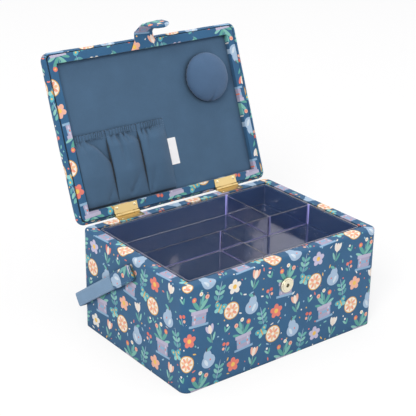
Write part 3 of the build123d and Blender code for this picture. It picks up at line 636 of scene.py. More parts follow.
def clear_plastic():
    """Injection-moulded clear polystyrene, with a painted violet glow in its posts and feet.

    Its upper edges carry a painted pale grey highlight, the outer walls' more so than the
    dividers'. Shadow and diffuse rays pass straight through, so that the box's inside is lit.
    """
    material, put = shaded("clear violet polystyrene")
    place = object_place(put)
    flow = put("ShaderNodeTexNoise", {"Vector": place, "Scale": 0.03, "Detail": 1.0})
    bump = {"Height": flow, "Strength": 0.04, "Distance": 0.3 * MM}
    body = {"Base Color": linear("#F1F0F8"), "Roughness": 0.06, "IOR": 1.42}
    body |= {"Transmission Weight": 1.0, "Normal": put("ShaderNodeBump", bump)}
    body = put("ShaderNodeBsdfPrincipled", body)
    # painted glow: a violet emission that stands in for light gathered in the posts and feet
    glow = {"Base Color": linear("#9F9EE6"), "Roughness": 0.25}
    glow |= {"Emission Color": linear("#B4B3F2"), "Emission Strength": 0.3}
    glow = put("ShaderNodeBsdfPrincipled", glow)
    # painted highlight: a pale grey surface for the upper edges
    pale = put("ShaderNodeBsdfPrincipled", {"Base Color": linear("#C2BFCC"), "Roughness": 0.25})
    clear = put("ShaderNodeBsdfTransparent", linear("#DCDCEC"))

    facing = put("ShaderNodeTexCoord").outputs["Normal"]
    facing = put("ShaderNodeSeparateXYZ", facing).outputs[2]
    flatness = put("ShaderNodeMath", facing, operation="ABSOLUTE")
    upright = put("ShaderNodeMath", flatness, 0.5, operation="LESS_THAN")
    x, y, level = put("ShaderNodeSeparateXYZ", place).outputs[:3]
    away = put("ShaderNodeVectorMath", place, operation="ABSOLUTE")
    away = put("ShaderNodeSeparateXYZ", away).outputs
    sideways = put("ShaderNodeMath", away[0], TRAY_WALLS[0], operation="GREATER_THAN")
    endways = put("ShaderNodeMath", away[1], TRAY_WALLS[1], operation="GREATER_THAN")
    outer = put("ShaderNodeMath", sideways, endways, operation="MAXIMUM")
    inner = put("ShaderNodeMath", 1.0, outer, operation="SUBTRACT")

    foot = put("ShaderNodeMath", level, TRAY_FLOOR + 0.2, 0.5, operation="COMPARE")
    foot = put("ShaderNodeMath", foot, upright, operation="MULTIPLY")
    foot = put("ShaderNodeMath", foot, inner, operation="MULTIPLY")
    painted_glow_marks = put("ShaderNodeMath", foot, TRAY_FOOT_PAINTED_GLOW, operation="MULTIPLY")
    for post_x, post_y, painted_glow_strength in TRAY_POSTS:
        beside = put("ShaderNodeMath", x, post_x, TRAY_POST_HALF, operation="COMPARE")
        before = put("ShaderNodeMath", y, post_y, TRAY_POST_HALF, operation="COMPARE")
        post = put("ShaderNodeMath", beside, before, operation="MULTIPLY")
        post = put("ShaderNodeMath", post, upright, operation="MULTIPLY")
        post = put("ShaderNodeMath", post, painted_glow_strength, operation="MULTIPLY")
        painted_glow_marks = put("ShaderNodeMath", painted_glow_marks, post, operation="MAXIMUM")
    seen = put("ShaderNodeMixShader", painted_glow_marks, body, glow)

    above = put("ShaderNodeMath", level, TRAY_FLOOR + 5, operation="GREATER_THAN")
    tops = put("ShaderNodeMath", facing, 0.8, operation="GREATER_THAN")
    tops = put("ShaderNodeMath", tops, above, operation="MULTIPLY")
    painted_highlight_strength = (outer, TRAY_RIM_PAINTED_HIGHLIGHT, TRAY_TOP_PAINTED_HIGHLIGHT)
    painted_highlight_strength = put("ShaderNodeMath", *painted_highlight_strength, operation="MULTIPLY_ADD")
    painted_top_highlight = put("ShaderNodeMath", tops, painted_highlight_strength, operation="MULTIPLY")
    seen = put("ShaderNodeMixShader", painted_top_highlight, seen, pale)

    rays = put("ShaderNodeLightPath").outputs
    passing = (rays["Is Shadow Ray"], rays["Is Diffuse Ray"])
    passing = put("ShaderNodeMath", *passing, operation="MAXIMUM")
    return finish_material(material, put("ShaderNodeMixShader", passing, seen, clear))


def metal(name, ink, roughness, grain, along=(1, 1, 1), hollows=PLATE_HOLLOWS):
    """Plated or drawn metal: a colour in its gloss and fine lines from finishing."""
    material, put = shaded(name)
    stretched = put("ShaderNodeMapping", {"Vector": object_place(put), "Scale": along})
    lines = put("ShaderNodeTexNoise", {"Vector": stretched, "Scale": grain, "Detail": 3.0})
    gloss = {"Value": lines, "To Min": roughness * 0.7, "To Max": roughness * 1.35}
    bump = {"Height": lines, "Strength": 0.2, "Distance": 0.05 * MM}
    # painted shade in the metal's hollows, such as the snap's hole
    tone = {0: linear(ink)[:3], "Scale": painted_hollow_shade(put, *hollows)}
    surface = {
        "Base Color": put("ShaderNodeVectorMath", tone, operation="SCALE"),
        "Metallic": 1.0,
        "Roughness": put("ShaderNodeMapRange", gloss),
        "Normal": put("ShaderNodeBump", bump),
    }
    return finish_material(material, put("ShaderNodeBsdfPrincipled", surface))


def matt(name, ink, grain, relief, roughness=0.9):
    """Board, foam, elastic, tape or thread: matt, with its own grain."""
    material, put = shaded(name)
    pulp = {"Vector": object_place(put), "Scale": grain, "Detail": 5.0}
    pulp = put("ShaderNodeTexNoise", pulp)
    shade = put("ShaderNodeMapRange", {"Value": pulp, "To Min": 0.85, "To Max": 1.12})
    tone = {0: linear(ink)[:3], "Scale": shade}
    bump = {"Height": pulp, "Strength": 0.4, "Distance": relief * MM}
    surface = {
        "Base Color": put("ShaderNodeVectorMath", tone, operation="SCALE"),
        "Roughness": roughness,
        "Normal": put("ShaderNodeBump", bump),
    }
    return finish_material(material, put("ShaderNodeBsdfPrincipled", surface))


LINING_INK = "#476582"
INSIDE_INK = "#4F6F8F"
CUSHION_INK = "#4B6788"
BAND_INK = "#7A9AB9"

# printed cotton gives the box its lively, matt blue, the same from every side
wrapped_print = printed_cotton("printed cotton poplin, wrapped", wrapped_place)
lid_print = printed_cotton("printed cotton poplin, on the lid", lid_place)
cut_print = printed_cotton("printed cotton poplin, cut pieces", cut_place)
handle_print = printed_cotton("printed cotton poplin, on the handle", cut_place)
# plain cotton gives quiet slate blue faces, with painted shade in their creases
lining_cotton = plain_cotton("slate blue cotton, inside", object_place, INSIDE_INK, hollows=None)
lid_cotton = plain_cotton("slate blue cotton, lid", lid_place, LINING_INK)
pocket_cotton = plain_cotton(
    "slate blue cotton, gathered", cut_place, LINING_INK, hollows=POCKET_HOLLOWS
)
cushion_cotton = plain_cotton("slate blue cotton, stuffed", cut_place, CUSHION_INK)
band_cotton = plain_cotton("light blue cotton webbing", cut_place, BAND_INK, 1.1, 0.3)
# clear plastic lets the inside show through, with painted violet glow and painted pale edge highlights
tray_plastic = clear_plastic()
# plated metals give the hinges a soft yellow gleam, and the snap a paler, sharper one
brass = metal("brass-plated steel, satin", "#D8BE86", 0.36, 0.6)
pin_brass = metal("drawn brass wire", "#C9AC6C", 0.34, 1.2, along=(0.1, 1, 1))
pale_brass = metal("pale gold plate", "#F1E9CE", 0.26, 0.6, hollows=SNAP_HOLLOWS)
screw_brass = metal("polished brass screw head", "#F3E4BC", 0.2, 0.6)
steel = metal("zinc-plated steel", "#B2B4B6", 0.35, 0.8)
sintered = metal("sintered magnet", "#4A4A4C", 0.6, 1.5)
# board, foam, elastic and the strip are dull, and show only where the box is cut open;
# the tape is the one bright white mark, and the threads stand out as fine pale dashes
grey_board = matt("uncoated grey board", "#A79C88", 0.8, 0.1)
foam = matt("polyether foam", "#E9E4D4", 1.5, 0.3)
white_tape = matt("white satin tape", "#F2F2F4", 2.5, 0.08, 0.6)
elastic = matt("flat elastic", "#DAD6CC", 1.0, 0.2)
stiffener = matt("extruded polyethylene strip", "#6E6E6E", 0.4, 0.05, 0.5)
thread = matt("cotton sewing thread", "#6E8BA9", 3.0, 0.1, 0.8)
pale_thread = matt("cotton sewing thread, pale", "#9DB3C9", 3.0, 0.1, 0.8)
# dark bars of painted shade stand for the recesses in the screws, a small dark cross on each head
recess_shade_paint = matt("shaded screw recess", "#4A371C", 1.0, 0.02, 0.6)

# what each node is made of goes by its slot in the record, and these few are finer
NODE_FINISH = {
    "base_cover": wrapped_print,
    "lid_rim_cover": lid_print,
    "lid_lining": lid_cotton,
    "tray_ledge_left": lining_cotton,
    "tray_ledge_right": lining_cotton,
    "hinge_left_pin": pin_brass,
    "hinge_right_pin": pin_brass,
    "snap_socket": pale_brass,
    "snap_stud": pale_brass,
}
SLOT_FINISH = {
    "printed_cotton": cut_print,
    "plain_cotton": lining_cotton,
    "handle_band_cloth": band_cotton,
    "tray_plastic": tray_plastic,
    "grey_board": grey_board,
    "foam": foam,
    "brass_plate": brass,
    "steel_plate": steel,
    "magnet": sintered,
    "label_cloth": white_tape,
    "elastic": elastic,
    "stiffener": stiffener,
}


def finish_nodes():
    """Every carried-over node gets the finish of what it is made of."""
    slots = {s["node"]: s["material_slot"] for s in frame["record"]["subparts"]}
    for name, node in frame["nodes"].items():
        node.data.materials.clear()
        node.data.materials.append(NODE_FINISH.get(name) or SLOT_FINISH[slots[name]])


def held(share):
    """A share kept between 0 and 1."""
    return min(max(share, 0.0), 1.0)


def eased(share):
    """A share kept between 0 and 1 that starts and ends gently."""
    share = held(share)
    return share * share * (3 - 2 * share)


def bell(distance):
    """1 at no distance, falling off like a bell."""
    return math.exp(-(distance**2))


def squared_off(value, power):
    """A sine or cosine pushed towards a square's outline: the less the power, the squarer."""
    return math.copysign(abs(value) ** power, value)


def ring_angles(count):
    """Angles evenly spaced round a full turn."""
    return [2 * math.pi * i / count for i in range(count)]


def new_piece(name, points, faces, material, cloth=None, smooth=True):
    """A mesh piece from points in millimetres, with cloth coordinates for its points."""
    mesh = bpy.data.meshes.new(name)
    mesh.from_pydata([Vector(p) * MM for p in points], [], faces)
    if cloth is not None:
        layer = mesh.uv_layers.new(name="cloth")
        for loop in mesh.loops:
            u, v = cloth[loop.vertex_index]
            layer.data[loop.index].uv = (u * MM, v * MM)
    mesh.materials.append(material)
    for polygon in mesh.polygons:
        polygon.use_smooth = smooth
    piece = bpy.data.objects.new(name, mesh)
    bpy.context.scene.collection.objects.link(piece)
    return piece


def face_outwards(piece, weld_within=None):
    """Turns the faces of a closed mesh outwards, once its points are welded if need be."""
    work = bmesh.new()
    work.from_mesh(piece.data)
    if weld_within:
        bmesh.ops.remove_doubles(work, verts=work.verts, dist=weld_within)
    bmesh.ops.recalc_face_normals(work, faces=work.faces)
    work.to_mesh(piece.data)
    work.free()


def settle(piece):
    """Applies a piece's modifiers to its mesh."""
    graph = bpy.context.evaluated_depsgraph_get()
    result = bpy.data.meshes.new_from_object(piece.evaluated_get(graph))
    piece.modifiers.clear()
    piece.data = result


def rows_of(count, length, start=0):
    """Rows of running indices."""
    return [[start + row * length + i for i in range(length)] for row in range(count)]


def bridge(rows, closed=True):
    """Quads between rows of as many points each; a closed row runs round to its start."""
    faces = []
    for first, second in zip(rows, rows[1:]):
        count = len(first)
        for i in range(count if closed else count - 1):
            j = (i + 1) % count
            faces.append((first[i], first[j], second[j], second[i]))
    return faces


def tube(rings):
    """The faces of a tube with a cap on either end."""
    return [*bridge(rings), tuple(reversed(rings[0])), tuple(rings[-1])]


def fan(ring, tip):
    """Triangles from a ring of points to one point."""
    return [(first, second, tip) for first, second in zip(ring, ring[1:] + ring[:1])]


# how finely the pad's outline is drawn: points to a corner, and to a long or short side
CORNER_STEPS = 10
LONG_STEPS = 40
SHORT_STEPS = 28


def rounded_outline(half_x, half_y, radius):
    """Points round a rounded rectangle with their outward directions, evenly counted."""
    radius = max(min(radius, half_x - 0.01, half_y - 0.01), 0.05)
    signs = ((1, -1), (1, 1), (-1, 1), (-1, -1))
    centres = [(a * (half_x - radius), b * (half_y - radius)) for a, b in signs]
    outline = []
    for k, (x, y) in enumerate(centres):
        for step in range(CORNER_STEPS + 1):
            angle = math.radians(90 * (k - 1) + 90 * step / CORNER_STEPS)
            way = (math.cos(angle), math.sin(angle))
            outline.append((x + radius * way[0], y + radius * way[1], *way))
        first = outline[-1]
        x, y = centres[(k + 1) % 4]
        run = (x + radius * way[0] - first[0], y + radius * way[1] - first[1])
        steps = LONG_STEPS if k % 2 else SHORT_STEPS
        for share in [step / steps for step in range(1, steps)]:
            outline.append((first[0] + run[0] * share, first[1] + run[1] * share, *way))
    return outline


# the padded edge in section: how far in from the outermost line, and how high above
# the lid's mating face as a share of the pad's local height
PAD_SECTION = (
    (14.0, 0.66),
    (7.0, 0.56),
    (5.7, 0.46),
    (5.2, 0.24),
    (4.5, 0.11),
    (3.6, 0.06),
    (2.4, 0.075),
    (1.2, 0.14),
    (0.35, 0.25),
    (0.0, 0.41),
    (0.15, 0.58),
    (0.9, 0.74),
    (2.3, 0.87),
    (4.6, 0.955),
    (8.0, 0.99),
)
PAD_CROWN_INSETS = (13.0, 20.0, 29.0, 40.0, 52.0, 64.0, 76.0, 86.0, 92.0)
# the frame stands nearer to the outermost line at the front and the back
PAD_UNDER_RINGS = 6
PAD_UNDER_SQUEEZE = 0.66
# corner radii: of the outermost line, of the innermost rings, and of the top's cloth
PAD_CORNER = 9.0
PAD_LEAST_CORNER = 1.2
PAD_CLOTH_CORNER = 4.0
PAD_HEIGHT = 17.0
PAD_SIDE_DROP = 4.6
PAD_END_DROP = 2.4
# the pad's height at its edge, which the cloth runs round, and that of its hidden back
PAD_EDGE_RISE = 14.0
PAD_BACK_RISE = 5.0
# small pleats round the corners, over the section's first rings, and soft dimples
PLEAT_COUNT = 14
PLEAT_DEEP = 0.35
PLEAT_RINGS = 9
DIMPLE_DEEP = 0.35
DIMPLE_SPREAD = 0.045


def pad_height(x, y):
    """The pad's height over its mating face: a low dome."""
    across = (x / half_width) ** 2
    along = (y / half_depth) ** 2
    return PAD_HEIGHT - PAD_SIDE_DROP * across - PAD_END_DROP * along


def make_lid_pad():
    """The lid's padded top: printed cloth pulled over foam and under to the frame."""
    centre_y = (cover_low.y + cover_high.y) / 2
    half_x = cover_high.x
    half_y = (cover_high.y - cover_low.y) / 2
    section = len(PAD_SECTION)
    insets = [inset for inset, _ in PAD_SECTION] + list(PAD_CROWN_INSETS)
    top_inset = PAD_SECTION[-1][0]
    top_ring = rounded_outline(half_x - top_inset, half_y - top_inset, PAD_CLOTH_CORNER)
    # how far each ring of the section lies from the topmost one, along the cloth
    runs = [0.0]
    for (outer, low), (inner, high) in zip(PAD_SECTION[-2::-1], PAD_SECTION[:0:-1]):
        runs.insert(0, runs[0] + math.hypot(inner - outer, (high - low) * PAD_EDGE_RISE))
    points = []
    cloth = []
    for k, inset in enumerate(insets):
        squeeze = PAD_UNDER_SQUEEZE if k < PAD_UNDER_RINGS else 1.0
        radius = max(PAD_CORNER - inset, PAD_LEAST_CORNER)
        ring = rounded_outline(half_x - inset, half_y - inset * squeeze, radius)
        share = PAD_SECTION[k][1] if k < section else 1.0
        fade = max(0.0, 1 - k / PLEAT_RINGS)
        for (x, y, way_x, way_y), top in zip(ring, top_ring):
            height = pad_height(x, y) * share
            corner = abs(way_x * way_y) * 2
            pleat = PLEAT_DEEP * corner * math.sin(PLEAT_COUNT * math.atan2(way_y, way_x))
            dimple = noise.noise(Vector((x, y, height)) * DIMPLE_SPREAD) * DIMPLE_DEEP
            out = pleat * fade + (dimple if k < section else 0)
            lift = dimple if k >= section - 2 else 0
            place = (x + way_x * out, centre_y + y + way_y * out, lid_face + height + lift)
            points.append(place)
            if k < section:
                cloth.append((top[0] + way_x * runs[k], top[1] + way_y * runs[k]))
            else:
                cloth.append((x, y))
    rows = rows_of(len(insets), len(top_ring))
    tip = len(points)
    points += [(0, centre_y, lid_face + PAD_HEIGHT), (0, centre_y, lining_high.z + PAD_BACK_RISE)]
    cloth += [(0, 0), (0, 0)]
    # the cloth's turned-under edge is closed behind the frame and the lining
    back = [(second, first, last) for first, second, last in fan(rows[0], tip + 1)]
    faces = bridge(rows) + fan(rows[-1], tip) + back
    pad = new_piece("padded_lid_top", points, faces, cut_print, cloth)
    face_outwards(pad)
    pad.data.transform(OPEN_LID)
    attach(pad, "lid")
    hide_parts("lid_cover", "lid_padding")


# the pincushion in section, from its sewn foot to its crown: radius and height shares
CUSHION_SECTION = (
    (0.0, 0.012),
    (0.45, 0.012),
    (0.80, 0.012),
    (0.865, 0.03),
    (0.915, 0.07),
    (0.957, 0.14),
    (0.985, 0.235),
    (1.0, 0.36),
    (0.99, 0.47),
    (0.955, 0.58),
    (0.90, 0.68),
    (0.82, 0.765),
    (0.72, 0.84),
    (0.60, 0.905),
    (0.46, 0.95),
    (0.31, 0.98),
    (0.16, 0.996),
    (0.0, 1.0),
)
CUSHION_STEPS = 120
CUSHION_GATHERS = 34
GATHER_DEEP = 0.32
SWELL_HIGH = 0.35
SWELL_SPREAD = 2.6
# the tuck in the crown: from and to, as shares of the radius, half its width and depth
TUCK_START = Vector((0.10, 0.58))
TUCK_RUN = Vector((-0.10, 0.99)) - TUCK_START
TUCK_HALF = 0.05
TUCK_DEEP = 2.4
WELD_WITHIN = 1e-6


def tuck_depth(spot):
    """How deep the pincushion's tuck lies at a spot, deepest at the rim."""
    share = held((spot - TUCK_START).dot(TUCK_RUN) / TUCK_RUN.length_squared)
    apart = (spot - TUCK_START - TUCK_RUN * share).length
    return TUCK_DEEP * bell(apart / TUCK_HALF) * (0.25 + 0.75 * share)


def make_pincushion():
    """The round pincushion: gathered at its foot, full in the middle, one small tuck."""
    centre = (cushion_low + cushion_high) / 2
    radius = (cushion_high.x - cushion_low.x) / 2
    tall = cushion_high.z - cushion_low.z
    points = []
    cloth = []
    for out, up in CUSHION_SECTION:
        near_foot = bell((up - 0.10) / 0.16) if out > 0.8 else 0.0
        spread = radius * (out if up > 0.4 else 2 - out)
        for angle in ring_angles(CUSHION_STEPS):
            way = Vector((math.cos(angle), math.sin(angle)))
            gather = math.sin(CUSHION_GATHERS * angle + 2.2 * math.sin(3 * angle))
            pinch = GATHER_DEEP * gather * near_foot
            spot = way * out
            tuck = tuck_depth(spot)
            swell = noise.noise(Vector((spot.x, spot.y, up)) * SWELL_SPREAD) * SWELL_HIGH
            reach = max(out * radius + pinch - tuck * 0.6 + (swell if out > 0.5 else 0), 0)
            lift = max(up * tall - tuck * 0.8 + swell * 0.5 * min(1, up * 3), 0.05)
            place = (centre.x + way.x * reach, centre.y + way.y * reach, cushion_high.z - lift)
            points.append(place)
            cloth.append((way.x * spread, way.y * spread))
    faces = bridge(rows_of(len(CUSHION_SECTION), CUSHION_STEPS))
    cushion = new_piece("pincushion_stuffed", points, faces, cushion_cotton, cloth)
    face_outwards(cushion, WELD_WITHIN)
    cushion.data.transform(OPEN_LID)
    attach(cushion, "lid")
    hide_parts("pincushion_cloth", "pincushion_filling")


POCKET_CLOTH = 1.0
# how far the pocket's cloth stands off at its casing, how much further below it, and
# how far at most
POCKET_OFF = 2.3
POCKET_SWELL = 4.7
POCKET_FARTHEST = 7.6
# how deep the elastic's gathers, the casing's seam and the ruffle over it are
GATHERS_DEEP = 0.42
SEAM_DEEP = 0.35
RUFFLE_DEEP = 0.5
RUFFLE_UP = 0.93
POCKET_COLUMNS = 84
POCKET_ROWS = 96
# how much wider the cloth is than the pocket that it is gathered into
POCKET_FULLNESS = 1.12
# a pocket's height as a multiple of its width, and where the casing's seam runs
POCKET_TALLNESS = 1.9
CASING_UP = 1 - 0.085
pocket_foot = hinge.y - pocket_high.y
pocket_tall = pocket_high.y - pocket_low.y

# each pocket's folds: from and to, as shares across and up, half width and depth
POCKET_FOLDS = (
    (
        (0.42, 0.91, 0.99, 0.55, 0.050, 3.4),
        (0.20, 0.90, 0.36, 0.62, 0.045, 1.6),
        (0.62, 0.91, 0.97, 0.80, 0.040, 2.2),
        (0.70, 0.06, 0.99, 0.30, 0.060, 1.4),
        (0.06, 0.88, 0.12, 0.55, 0.040, 1.2),
    ),
    (
        (0.34, 0.91, 0.40, 0.50, 0.050, 2.6),
        (0.16, 0.91, 0.12, 0.70, 0.035, 1.6),
        (0.52, 0.91, 0.62, 0.74, 0.035, 1.6),
        (0.68, 0.91, 0.97, 0.74, 0.050, 3.2),
        (0.45, 0.10, 0.97, 0.46, 0.080, 1.8),
    ),
    (
        (0.30, 0.91, 0.26, 0.62, 0.045, 3.0),
        (0.15, 0.91, 0.10, 0.72, 0.035, 1.6),
        (0.46, 0.91, 0.30, 0.30, 0.070, 1.2),
        (0.10, 0.06, 0.36, 0.40, 0.070, 1.2),
    ),
)
# where the elastic draws a pocket in beside its right seam: the fold over the hollow,
# from and to, as shares across and up
SEAM_HOLLOWS = {0: (0.42, 0.90, 1.0, 0.50), 1: (0.66, 0.91, 1.0, 0.73)}


def fold_depth(fold, across, up):
    """How deep a fold lies at a place in its pocket: deepest at its upper end."""
    x0, y0, x1, y1, width, depth = fold
    run_x, run_y = x1 - x0, (y1 - y0) * POCKET_TALLNESS
    off_x, off_y = across - x0, (up - y0) * POCKET_TALLNESS
    share = held((off_x * run_x + off_y * run_y) / (run_x * run_x + run_y * run_y))
    apart = math.hypot(off_x - run_x * share, off_y - run_y * share)
    return depth * (1 - 0.75 * share) * bell(apart / (width * (1 + 0.9 * share)))


def seam_hollow(lobe, across, up):
    """1 in the hollow beside a pocket's right seam, under the casing, and 0 outside."""
    if lobe not in SEAM_HOLLOWS:
        return 0.0
    x0, y0, x1, y1 = SEAM_HOLLOWS[lobe]
    fold = y0 + (y1 - y0) * (across - x0) / (x1 - x0)
    beside = held((across - x0) / 0.08)
    below = held((CASING_UP - up) / 0.03)
    return eased((up - fold) / 0.045) * beside * below


def pocket_bulge(lobe, across, up):
    """How far the pocket's cloth stands off the lining, in millimetres.

    across and up run from 0 to 1 over one pocket, from its left seam and its foot.
    """
    arch = max(math.sin(math.pi * across), 0.0)
    if lobe == 2 and across > 0.5:
        # the last pocket runs out flat towards its sewn edge
        arch *= 1 - 0.45 * ((across - 0.5) / 0.5) ** 2
    # steep where a pocket starts, easier where it runs down to the next seam
    steep = arch ** (0.16 + 0.45 * across)
    foot = min(1.0, up / 0.4) ** 0.65
    full = eased((CASING_UP - up) / 0.17)
    body = (POCKET_OFF + POCKET_SWELL * full) * (0.12 + 0.88 * foot) * steep
    if up < CASING_UP + 0.01:
        body -= steep * sum(fold_depth(fold, across, up) for fold in POCKET_FOLDS[lobe])
    body *= 1 - 0.84 * seam_hollow(lobe, across, up)
    # the elastic's gathers, deepest at the casing, and the casing's own seam
    gathers = math.sin(2 * math.pi * (13 * across + 0.35 * math.sin(9 * across + lobe)))
    near = math.exp(-max(CASING_UP - up, 0.0) / 0.07)
    off_edge = min(1.0, arch * 3)
    body += GATHERS_DEEP * gathers * near * off_edge
    body -= SEAM_DEEP * bell((up - CASING_UP) / 0.013) * off_edge
    return min(max(body, 0.25 + 0.5 * min(1.0, arch * 4)), POCKET_FARTHEST)


def make_pocket():
    """Three gathered pockets in one strip, elastic in the casing at the top edge."""
    columns = []
    for lobe, (start, end) in enumerate(zip(POCKET_SEAMS, POCKET_SEAMS[1:])):
        last = lobe == len(POCKET_SEAMS) - 2
        for even in [i / POCKET_COLUMNS for i in range(POCKET_COLUMNS + last)]:
            across = 0.55 * even + 0.45 * (0.5 - 0.5 * math.cos(math.pi * even))
            columns.append((lobe, across, start + (end - start) * across))
    points = []
    cloth = []
    for up in [row / POCKET_ROWS for row in range(POCKET_ROWS + 1)]:
        for lobe, across, x in columns:
            waves = RUFFLE_DEEP * math.sin(18 * math.pi * across + lobe)
            ruffle = waves * max(0.0, up - RUFFLE_UP) / 0.07
            rise = pocket_foot + pocket_tall * up + ruffle
            points.append((x, hinge.y - rise, panel_face - pocket_bulge(lobe, across, up)))
            cloth.append((x * POCKET_FULLNESS, rise))
    faces = bridge(rows_of(POCKET_ROWS + 1, len(columns)), closed=False)
    piece = new_piece("gathered_pocket", points, faces, pocket_cotton, cloth)
    wall = piece.modifiers.new("cloth thickness", "SOLIDIFY")
    wall.thickness = POCKET_CLOTH * MM
    wall.offset = 1.0
    settle(piece)
    piece.data.transform(OPEN_LID)
    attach(piece, "lid")
    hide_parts("pocket_cloth", "pocket_elastic")


def bent(along, off, degrees, radius):
    """A point of a strip bent at its start: its place along, and off the strip's middle.

    The strip bends towards negative off, and keeps its length.
    """
    whole = math.radians(degrees)
    start = -radius * math.tan(whole / 2)
    run = along - start
    if run <= 0:
        return along, off
    angle = min(run / radius, whole)
    beyond = max(run - radius * whole, 0.0)
    ahead, down = math.cos(angle), math.sin(angle)
    x = start + radius * down + beyond * ahead
    y = -radius * (1 - ahead) - beyond * down
    return x + down * off, y + ahead * off


def tab_point(across, along, off):
    """A point of the closure tab on the closed box, from its place in the flat tab.

    along runs from the fold at the lid's edge to the tip; off is towards the print.
    """
    slant = math.radians(TAB_SLANT)
    crease_x, crease_y = math.cos(slant), math.sin(slant)
    from_crease = along - TAB_CREASE
    beside = across * crease_x + from_crease * crease_y
    beyond = from_crease * crease_x - across * crease_y
    beyond, off = bent(beyond, off, TAB_CURL, TAB_CREASE_RADIUS)
    across = beside * crease_x - beyond * crease_y
    along = TAB_CREASE + beside * crease_y + beyond * crease_x
    root_rise = 0.5 * held(-along / 6.0)
    along, off = bent(along, off, TAB_LEAN, TAB_FOLD_RADIUS)
    return Vector((across, tab_fold.y - along, tab_fold.z + off + root_rise))


def tab_half_width(along):
    """Half the tab's width at a place along it: flared root, straight, round tip."""
    straight = TAB_LENGTH - TAB_HALF
    if along > straight:
        return math.sqrt(max(TAB_HALF**2 - (along - straight) ** 2, 0.0))
    edge = rim_low.y - tab_fold.y
    if along < -edge:
        flare = (-edge - along) / (root_high.y - rim_low.y)
        return TAB_NECK_HALF + (TAB_ROOT_HALF - TAB_NECK_HALF) * min(flare, 1.0)
    if along < -2:
        return TAB_HALF + (TAB_NECK_HALF - TAB_HALF) * (-2 - along) / (edge - 2)
    return TAB_HALF


def tab_thickness(along):
    """The tab's thickness: flat where it is glued down, soft where it hangs free."""
    free = eased((along + 4.0) / 5.0)
    tip = eased((along - 20.0) / 10.0)
    return TAB_GLUED + TAB_FREE_MORE * free + TAB_TIP_MORE * tip


def tab_pucker(across, along):
    """How far the tab's cloth is puckered up where it creases, in millimetres."""
    near = bell((along - TAB_CREASE + 1.0) / 4.5)
    return TAB_PUCKER_DEEP * near * math.sin(2 * math.pi * (across / 6.4 + along / 19.0))


def make_tab_stretch(name, places, nodes):
    """One stretch of the closure tab, drawn on the closed box and turned open with the lid."""
    points = []
    cloth = []
    for along in places:
        half = max(tab_half_width(along), 0.05)
        thick = tab_thickness(along)
        if half < 3:
            thick *= max(half / 3, 0.3)
        for angle in ring_angles(TAB_SECTION_STEPS):
            across = half * squared_off(math.cos(angle), 0.42)
            off = thick / 2 * squared_off(math.sin(angle), 0.75) + tab_pucker(across, along)
            points.append(tab_point(across, along, off))
            cloth.append((across + 3, along - 18 + 4 * (off < 0)))
    faces = tube(rows_of(len(places), TAB_SECTION_STEPS))
    piece = new_piece(name, points, faces, cut_print, cloth)
    face_outwards(piece)
    piece.data.transform(OPEN_LID)
    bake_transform(piece)
    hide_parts(*nodes)


def make_tab():
    """The closure tab: a root on the lid's frame, a strap and a round end."""
    root = tab_fold.y - root_high.y
    tip = TAB_MEETING - TAB_OVERLAP
    # the tip's places crowd together towards its round end
    tip_shares = [math.sin(i / 70 * math.pi / 2) for i in range(71)]
    make_tab_stretch(
        "closure_tab_root",
        [root + (TAB_MEETING - root) * i / 60 for i in range(61)],
        ("tab_root", "tab_strap"),
    )
    make_tab_stretch(
        "closure_tab_tip",
        [tip + (TAB_LENGTH - tip) * share for share in tip_shares],
        ("tab_end",),
    )


def handle_matrix():
    """From the handle's own flat drawing, pivots at Y = 0, to its place at rest."""
    pivot = Vector(joint("handle_swing")["pos_m"])
    return Matrix.Translation(pivot) @ Matrix.Rotation(math.radians(HANDLE_ANGLE), 4, "X")


def handle_path(half, start):
    """Middle line of the handle's band from the left end round to the right end.

    Each point has its place and the way that the line runs there, in degrees.
    """
    straight = HANDLE_REACH - HANDLE_BEND
    count = int((straight - start) / HANDLE_STEP)
    path = [(-half, start + (straight - start) * i / count, 90.0) for i in range(count + 1)]
    for turn in [90 - 90 * i / 12 for i in range(1, 13)]:
        way = (math.cos(math.radians(turn + 90)), math.sin(math.radians(turn + 90)))
        x = -half + HANDLE_BEND + HANDLE_BEND * way[0]
        path.append((x, straight + HANDLE_BEND * way[1], turn))
    level = 2 * half - 2 * HANDLE_BEND
    count = int(level / HANDLE_STEP)
    mirrored = [(-x, y, -turn) for x, y, turn in reversed(path)]
    for i in range(1, count + 1):
        path.append((-half + HANDLE_BEND + level * i / count, HANDLE_REACH, 0.0))
    return path + mirrored[1:]


def beside_path(x, y, turn, off):
    """A place off a flat path, at a right angle to the way that it runs."""
    return x - math.sin(math.radians(turn)) * off, y + math.cos(math.radians(turn)) * off


def make_band_piece(name, path, wide, thick, roundness, material, puff=0.0):
    """A soft-edged band swept along a flat path, closed at both ends."""
    points = []
    cloth = []
    run = 0.0
    for k, (x, y, turn) in enumerate(path):
        if k:
            run += math.dist((x, y), path[k - 1][:2])
        from_end = min(k, len(path) - 1 - k)
        taper = (0.86, 0.96, 0.99)[from_end] if from_end < 3 else 1.0
        around = 0.0
        before = None
        for angle in ring_angles(BAND_SECTION_STEPS):
            side = wide / 2 * taper * squared_off(math.cos(angle), roundness)
            height = thick / 2 * taper * squared_off(math.sin(angle), 0.6)
            height *= 1 + puff * (1 - (2 * side / wide) ** 2)
            points.append((*beside_path(x, y, turn, height), side))
            around += math.dist((side, height), before) if before else 0.0
            before = (side, height)
            cloth.append((around, run))
    piece = new_piece(name, points, tube(rows_of(len(path), BAND_SECTION_STEPS)), material, cloth)
    face_outwards(piece)
    piece.data.transform(handle_matrix())
    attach(piece, "handle")
    return piece


